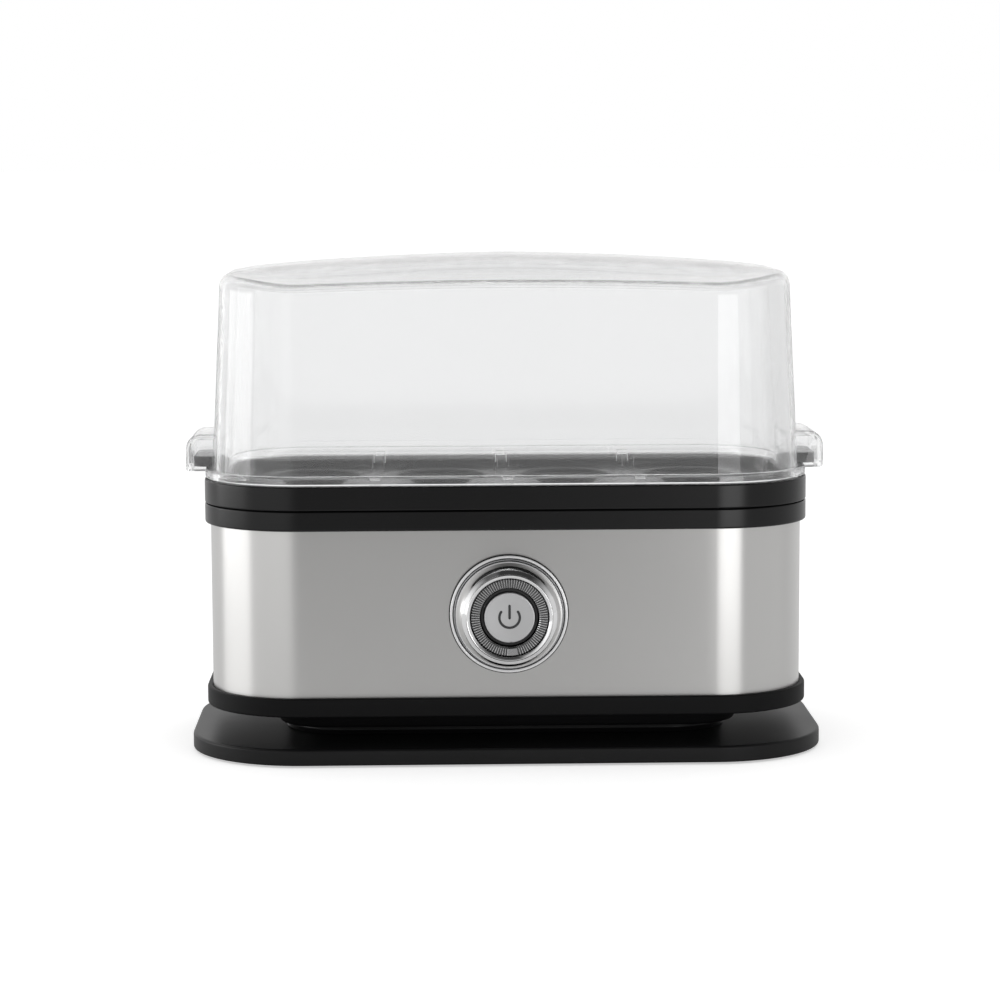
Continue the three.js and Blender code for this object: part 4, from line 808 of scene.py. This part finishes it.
def power_button():
    core, dish_rim_share, dish_rim, dish_mid, dish = 0.3, 0.8, 0.1, 0.24, 0.35
    neck, foot = BUTTON_REACH - BUTTON_CAP, BUTTON_REACH - BUTTON_CAP - BUTTON_SKIRT
    inner = BUTTON_RADIUS - BUTTON_SKIRT_WALL
    profile = [(core, -BUTTON_STEM_END), (BUTTON_STEM, -BUTTON_STEM_END), (BUTTON_STEM, neck), (inner, neck),
               (inner, foot), (BUTTON_RADIUS, foot), (BUTTON_RADIUS, BUTTON_REACH),
               (BUTTON_RADIUS * dish_rim_share, BUTTON_REACH - dish_rim),
               (BUTTON_RADIUS / 2, BUTTON_REACH - dish_mid), (core, BUTTON_REACH - dish)]
    rounds = [0, 0.3, 0.2, 0.2, 0.2, 0.2, 0.45, 0, 0, 0]
    profile = soften(profile, rounds, closed=False, steps=5)
    cap = turned("button", profile, (0, SLEEVE_FRONT, DIAL_Z), "Y", 96)
    notch_radius, notch_deep, notch_x, notch_drop = 0.45, 1.2, 0.5, 8.75
    notch = [(notch_radius, -BUTTON_REACH - OVERRUN), (notch_radius, notch_deep - BUTTON_REACH)]
    notch = turned("notch", notch, (notch_x, SLEEVE_FRONT, DIAL_Z - notch_drop), "-Y")
    cut(cap, notch)
    show(cap, "push_button", silver, "button", ["power_button"], 30)
    face = SLEEVE_FRONT - (BUTTON_REACH - 0.2)
    half_line, mark_radius, opening, steps, bar = 0.44, 3.6, 55, 40, (-0.2, 4.2)
    arc = []
    for index in range(steps + 1):
        angle = math.radians(90 + opening + (360 - 2 * opening) * index / steps)
        arc.append((mark_radius * math.cos(angle), mark_radius * math.sin(angle)))
    stroke("standby_arc", arc, half_line, face)
    stroke("standby_bar", [(0, z) for z in bar], half_line, face)


def stroke(name, points, half, face):
    """A flat line of even width with round ends, laid on the button's face."""
    proud, sunk = 0.06, 0.2
    left, right = [], []
    for i, point in enumerate(points):
        before = Vector(points[max(i - 1, 0)])
        after = Vector(points[min(i + 1, len(points) - 1)])
        way = (after - before).normalized()
        side = Vector((-way.y, way.x)) * half
        left.append(Vector(point) + side)
        right.append(Vector(point) - side)

    def turn(centre, towards, quarter, steps=8):
        start = math.atan2(towards.y, towards.x) + quarter * math.pi / 2
        angles = [start + math.pi * k / steps for k in range(1, steps)]
        return [Vector(centre) + Vector((math.cos(a), math.sin(a))) * half for a in angles]

    edge = right + turn(points[-1], Vector(points[-1]) - Vector(points[-2]), -1)
    edge += left[::-1] + turn(points[0], Vector(points[1]) - Vector(points[0]), 1)
    edge = [(p.x, DIAL_Z + p.y) for p in edge]
    mark = along_depth(name, edge, face - proud, face + sunk)
    show(mark, name, mark_dark, "button")


def return_spring():
    turns, per_turn, wire_radius = 5, 24, 0.5
    path = []
    for step in range(turns * per_turn + 1):
        share = step / (turns * per_turn)
        angle = share * turns * 2 * math.pi
        path.append((COIL_RADIUS * math.cos(angle),
                     SLEEVE_FRONT - COIL_BACK - (COIL_FRONT - COIL_BACK) * share,
                     DIAL_Z + COIL_RADIUS * math.sin(angle)))
    curve = bpy.data.curves.new("coil", "CURVE")
    curve.dimensions = "3D"
    curve.bevel_depth = wire_radius * MM
    curve.bevel_resolution = 3
    curve.use_fill_caps = True
    spline = curve.splines.new("POLY")
    spline.points.add(len(path) - 1)
    for point, place in zip(spline.points, shift(path)):
        point.co = (*place, 1)
    drawn = add_object("coil", curve)
    bpy.context.view_layer.update()
    mesh = settled_mesh(drawn)
    bpy.data.objects.remove(drawn)
    show(add_object("coil", mesh), "return_coil", zinc, "button", ["button_spring"])


# The egg rack and the lid


def egg_rack():
    skirt, inner, under = RIM_BOTTOM - SKIRT_DROP, TRAY_INSET - TRAY_WALL, RACK_TOP - RIM_SKIN
    section = [(0, RIM_BOTTOM), (0, RACK_TOP), (TRAY_INSET, RACK_TOP), (TRAY_INSET, skirt), (inner, skirt),
               (inner, under), (RIM_WALL, under), (RIM_WALL, RIM_BOTTOM)]
    rounds = [0.5, 0.7, 0.9, 0.3, 0.3, 0.3, 0.3, 0.2]
    rack = band("rack", BODY, soften(section, rounds, steps=5))
    tray_bottom, tray_middle = TRAY_TOP - TRAY_THICK, TRAY_TOP - TRAY_THICK / 2
    extras = [cup("tray", inset(BODY, TRAY_INSET - OVERRUN), [(0, tray_bottom), (0, TRAY_TOP)])]
    face = BODY[1] / 2 - TRAY_INSET
    for line in (-1, 0, 1):
        for side in (-1, 1):
            x = line * EGG_PITCH[0] + side * RIB_PAIR_GAP / 2
            for wall in (-1, 1):
                y0, y1 = sorted((wall * (face - RIB_DEEP), wall * (face + RIB_DEEP)))
                extras.append(block(x - RIB_WIDE / 2, x + RIB_WIDE / 2, y0, y1, TRAY_TOP - OVERRUN,
                                    RACK_TOP - RIB_LOWERED))
    join(rack, *extras)
    for side in (-1, 1):
        join(rack, grip_tab(side))
    dish_steps = 6
    profile = [(EGG_HOLE, tray_bottom - OVERRUN), (EGG_HOLE, tray_middle)]
    for step in range(1, dish_steps + 1):
        angle = step / dish_steps * math.pi / 2
        profile.append((EGG_HOLE + EGG_DISH * (1 - math.cos(angle)),
                        tray_middle + math.sin(angle) * TRAY_THICK / 2))
    profile.append((EGG_HOLE + EGG_DISH, TRAY_TOP + OVERRUN))
    holes = []
    for column in range(EGG_COLUMNS):
        for row in range(EGG_ROWS):
            x = (column - (EGG_COLUMNS - 1) / 2) * EGG_PITCH[0]
            y = (row - (EGG_ROWS - 1) / 2) * EGG_PITCH[1]
            holes.append(turned("tool", profile, (x, y, 0), sides=72))
    cut(rack, *holes)
    show(rack, "egg_tray_moulding", black, "rack", ["egg_rack"])


def grip_tab(side):
    """One of the rack's two grip tabs with its riser, at the right for a side of 1 and the left for -1."""
    wall, tip = BODY[0] / 2, BODY[0] / 2 + TAB_REACH
    root, under = wall - RISER_THICK, TAB_TOP - TAB_THICK
    flat, edge_round = 1.0, 0.6
    section = [(flat, under), (0, under), (0, TAB_TOP), (flat, TAB_TOP)]
    rounds = [0, edge_round, edge_round, 0]
    tab = cup("tab", (2 * tip, TAB_WIDE, TAB_CORNER), soften(section, rounds, closed=False))
    far, half_deep, low, high = 2 * tip, 60, 90, 120
    cut(tab, block(-far if side > 0 else -root, root if side > 0 else far, -half_deep, half_deep, low, high))
    riser = block(*sorted((side * root, side * wall)), -TAB_WIDE / 2, TAB_WIDE / 2, RACK_TOP - OVERRUN,
                  TAB_TOP - TAB_THICK / 2)
    combine(riser, [cup("wall", BODY, [(0, RACK_TOP - RIM_SKIN), (0, TAB_TOP)])], "INTERSECT")
    return join(tab, riser)


def crown_z(x, y, outline):
    """Height of the lid's top, which falls towards the ends and is crowned across its depth."""
    share_x, share_y = abs(x) / (outline[0] / 2), abs(y) / (outline[1] / 2)
    ridge = LID_CROWN - (LID_CROWN - LID_END_CROWN) * min(share_x, 1) ** LID_CROWN_POWER
    power = LID_DEPTH_POWER + (LID_END_POWER - LID_DEPTH_POWER) * min(share_x, 1) ** LID_END_SPREAD
    return LID_TOP - LID_ARCH * share_x ** 2 + ridge * max(1 - share_y ** power, 0)


def lid_rings(sheet):
    """Rings of the lid's wall and top from its foot up, sunk in by sheet: 0 gives the outer skin."""
    steps, levels = 8, 20
    foot = inset(BODY, LID_WALL_INSET + sheet)
    head = inset(BODY, LID_WALL_INSET + LID_DRAFT + sheet)
    shoulder = LID_SHOULDER - sheet
    reference = inset(BODY, LID_WALL_INSET + LID_DRAFT + LID_SHOULDER)
    top = [(x, y, crown_z(x, y, reference) - sheet) for x, y in plan(inset(head, shoulder), LID_SIDE_STEPS)]
    low = LID_BOTTOM + (0 if sheet else LID_FLANGE_TALL)
    rings = [ring_at(foot, low, LID_SIDE_STEPS)]
    for step in range(steps):
        angle = step / steps * math.pi / 2
        pull, drop = shoulder * (1 - math.cos(angle)), shoulder * (1 - math.sin(angle))
        outline = plan(inset(head, pull), LID_SIDE_STEPS)
        rings.append([(x, y, top[i][2] - drop) for i, (x, y) in enumerate(outline)])
    rings.append(top)
    for level in range(levels - 1, 0, -1):
        share = level / levels
        rings.append([(x * share, y * share, crown_z(x * share, y * share, reference) - sheet)
                      for x, y, _ in top])
    return rings


def hood_outline(root, reach, low, high, rounding, steps=10):
    points = [(root, low), (reach, low)]
    for step in range(steps + 1):
        angle = step / steps * math.pi / 2
        points.append((reach - rounding + rounding * math.cos(angle),
                       high - rounding + rounding * math.sin(angle)))
    return points + [(root, high)]


def lid_tongues():
    """The tongues, each between two ribs of the rack, and the pale strips down their sides, which paint the
    highlights of their edges.
    """
    root_sink, seat_sink, strip_gap = 0.4, 0.1, 0.02
    outer = BODY[1] / 2 - TRAY_INSET - TONGUE_GAP
    inner = outer - TONGUE_THICK
    root = BODY[1] / 2 - LID_WALL_INSET - LID_SHEET + root_sink
    low, seat, high = RACK_TOP - TONGUE_HANG, LID_BOTTOM + seat_sink, LID_BOTTOM + TONGUE_RISE
    section = [(inner, low), (outer, low), (outer, seat), (root, seat), (root, high), (inner, high)]
    tongues, strips = [], []
    for line in (-1, 0, 1):
        x0 = line * EGG_PITCH[0] - TONGUE_WIDE / 2
        x1 = x0 + TONGUE_WIDE
        for wall in (-1, 1):
            tongues.append(bevel(along_width("tongue", section, x0, x1, wall), TONGUE_ROUND, 2))
            front, rear = sorted((wall * (outer - STRIP_DEEP), wall * outer))
            for x in (x0 - STRIP_WIDE - strip_gap, x1 + strip_gap):
                strips.append(block(x, x + STRIP_WIDE, front, rear, low, LID_BOTTOM))
    return tongues, strips


def lid():
    flange_top = LID_BOTTOM + LID_FLANGE_TALL
    section = [(LID_WALL_INSET + LID_SHEET, LID_BOTTOM), (LID_FLANGE_INSET, LID_BOTTOM),
               (LID_FLANGE_INSET, flange_top), (LID_WALL_INSET, flange_top)]
    edge = soften(section, [0, 0.6, 0.9, 0], closed=False)
    flange = [ring_at(inset(BODY, a), z, LID_SIDE_STEPS) for a, z in edge[1:-1]]
    shell = skin("lid_shell", lid_rings(LID_SHEET)[::-1] + flange + lid_rings(0), False)
    reach, high, half = BODY[0] / 2 + HOOD_REACH, LID_BOTTOM + HOOD_TALL, HOOD_WIDE / 2
    root = BODY[0] / 2 - LID_WALL_INSET - LID_SHEET / 2
    outer = hood_outline(root, reach, LID_BOTTOM + HOOD_LIFT, high, HOOD_ROUND)
    inner = hood_outline(BODY[0] / 2 - LID_WALL_INSET + HOOD_PASS, reach - LID_SHEET, LID_BOTTOM - OVERRUN,
                         high - LID_SHEET, HOOD_ROUND - LID_SHEET)
    for mirror in (False, True):
        join(shell, bevel(along_depth("hood", outer, -half, half, mirror), HOOD_EDGE, 4, 50))
        cut(shell, along_depth("hollow", inner, -half + LID_SHEET, half - LID_SHEET, mirror))
    tongues, strips = lid_tongues()
    join(shell, *tongues)
    show(shell, "clear_cover", clear, "lid", ["lid"], 30)
    # The strips are painted highlights of the tongues' edges.
    strips = join(strips[0], *strips[1:])
    show(bevel(strips, STRIP_ROUND, 2), "tongue_edge_highlights", painted_edge_light, "lid")
    shell.visible_shadow = False


base_plate()
feet()
bottom_pan()
steel_sleeve()
top_collar()
water_bowl()
screws()
cord_gland()
dial()
power_button()
return_spring()
egg_rack()
lid()


# The studio and the camera. Places of the floor and the lamps are in metres.

FLOOR_GLOW = {"Is Camera Ray": 0.5, "Is Transmission Ray": 0.24, "Is Glossy Ray": 0.08}
MATT_LEVEL = 0.72
FRONT_LEVEL = 0.36
BACK_LEVEL = 1.0
LEFT_LEVEL = 1.1
RIGHT_LEVEL = 0.68
RIGHT_FADED = 0.6
TOP_DIMMED = 0.9


def floor():
    side, front, back = 6.0, -0.42, 40.0
    obj = build("studio_floor", [(-side, front, 0), (side, front, 0), (side, back, 0), (-side, back, 0)],
                [(0, 1, 2, 3)])
    material = surface("studio_white", (0.86, 0.86, 0.86), 0.9, variation=0.002,
                       sockets={"Specular IOR Level": 0.0})
    tree = material.node_tree
    ray = add_node(tree, "ShaderNodeLightPath")
    strength, *others = [maths(tree, "MULTIPLY", ray.outputs[kind], level)
                         for kind, level in FLOOR_GLOW.items()]
    for other in others:
        strength = maths(tree, "MAXIMUM", strength, other)
    glow = add_node(tree, "ShaderNodeEmission", {"Color": (1, 1, 1, 1), "Strength": strength})
    both = add_node(tree, "ShaderNodeAddShader")
    put(tree, tree.nodes["Principled BSDF"].outputs[0], both.inputs[0])
    put(tree, glow.outputs[0], both.inputs[1])
    put(tree, both.outputs[0], tree.nodes["Material Output"].inputs["Surface"])
    obj.data.materials.append(material)


def softbox(name, place, aim, width, height, power):
    data = bpy.data.lights.new(name, "AREA")
    data.shape = "RECTANGLE"
    data.size, data.size_y = width, height
    data.energy = power
    obj = add_object(name, data)
    obj.location = place
    obj.rotation_mode = "QUATERNION"
    obj.rotation_quaternion = (Vector(aim) - Vector(place)).to_track_quat("-Z", "Y")
    obj.visible_camera = False
    obj.visible_transmission = False


def sky():
    """Even light for matt surfaces, a darker front and top in reflections, and a white backdrop."""
    world = bpy.data.worlds.new("studio")
    bpy.context.scene.world = world
    world.use_nodes = True
    tree = world.node_tree
    tree.nodes.clear()
    where = add_node(tree, "ShaderNodeTexCoord").outputs["Generated"]
    x, y, z = add_node(tree, "ShaderNodeSeparateXYZ", {0: where}).outputs
    back = spread(tree, y, FRONT_LEVEL, BACK_LEVEL, 0.3, 0.85)
    left = spread(tree, x, LEFT_LEVEL, 0, -0.27, -0.12)
    right = spread(tree, x, 0, RIGHT_LEVEL, 0.4, 0.75)
    right = maths(tree, "MULTIPLY", right, spread(tree, y, 1.0, RIGHT_FADED, 0.1, 0.4))
    round_about = maths(tree, "MAXIMUM", back, maths(tree, "ADD", left, right))
    high = spread(tree, z, 0, TOP_DIMMED, 0.25, 0.7)
    dim = maths(tree, "MULTIPLY", high, spread(tree, y, 1.0, 0, -0.1, 0.3))
    seen = maths(tree, "MULTIPLY", round_about, spread(tree, dim, 1.0, 0.0, 0.0, 1.0))
    ray = add_node(tree, "ShaderNodeLightPath").outputs
    matt = blend(tree, ray["Is Glossy Ray"], MATT_LEVEL, seen)
    plain = maths(tree, "MAXIMUM", ray["Is Camera Ray"], ray["Is Transmission Ray"])
    level = blend(tree, plain, matt, 1.0)
    shade = add_node(tree, "ShaderNodeBackground", {"Color": (1, 1, 1, 1), "Strength": level})
    add_node(tree, "ShaderNodeOutputWorld", {"Surface": shade.outputs[0]})


def camera():
    """The photograph's camera, fitted to the edges of the object."""
    lens_px, picture, sensor, distance = 2929.98, 1000.0, 36.0, 1090.0
    pitch, yaw, roll = math.radians(6.72), math.radians(1.42), math.radians(-0.25)
    target = Vector((-1.63, CENTRING, 87.22 + FOOT_PROUD)) * MM
    ahead = Vector((math.sin(yaw) * math.cos(pitch), math.cos(yaw) * math.cos(pitch), -math.sin(pitch)))
    right = Vector((math.cos(yaw), -math.sin(yaw), 0))
    up = right.cross(ahead)
    right, up = (math.cos(roll) * right + math.sin(roll) * up, -math.sin(roll) * right + math.cos(roll) * up)
    data = bpy.data.cameras.new("camera")
    data.sensor_width = sensor
    data.lens = sensor * lens_px / picture
    data.clip_start, data.clip_end = 0.01, 50
    obj = add_object("camera", data)
    turn = Matrix((right, up, -ahead)).transposed().to_4x4()
    obj.matrix_world = Matrix.Translation(target - ahead * distance * MM) @ turn
    bpy.context.scene.camera = obj


floor()
sky()
softbox("left_box", (-1.02, 0.0, 0.05), (-0.09, -0.03, 0.08), 0.84, 0.4, 2.7)
softbox("right_box", (0.48, -0.97, 0.05), (0.09, -0.03, 0.08), 0.5, 0.4, 1.8)
camera()
bpy.context.scene.view_settings.view_transform = "Standard"
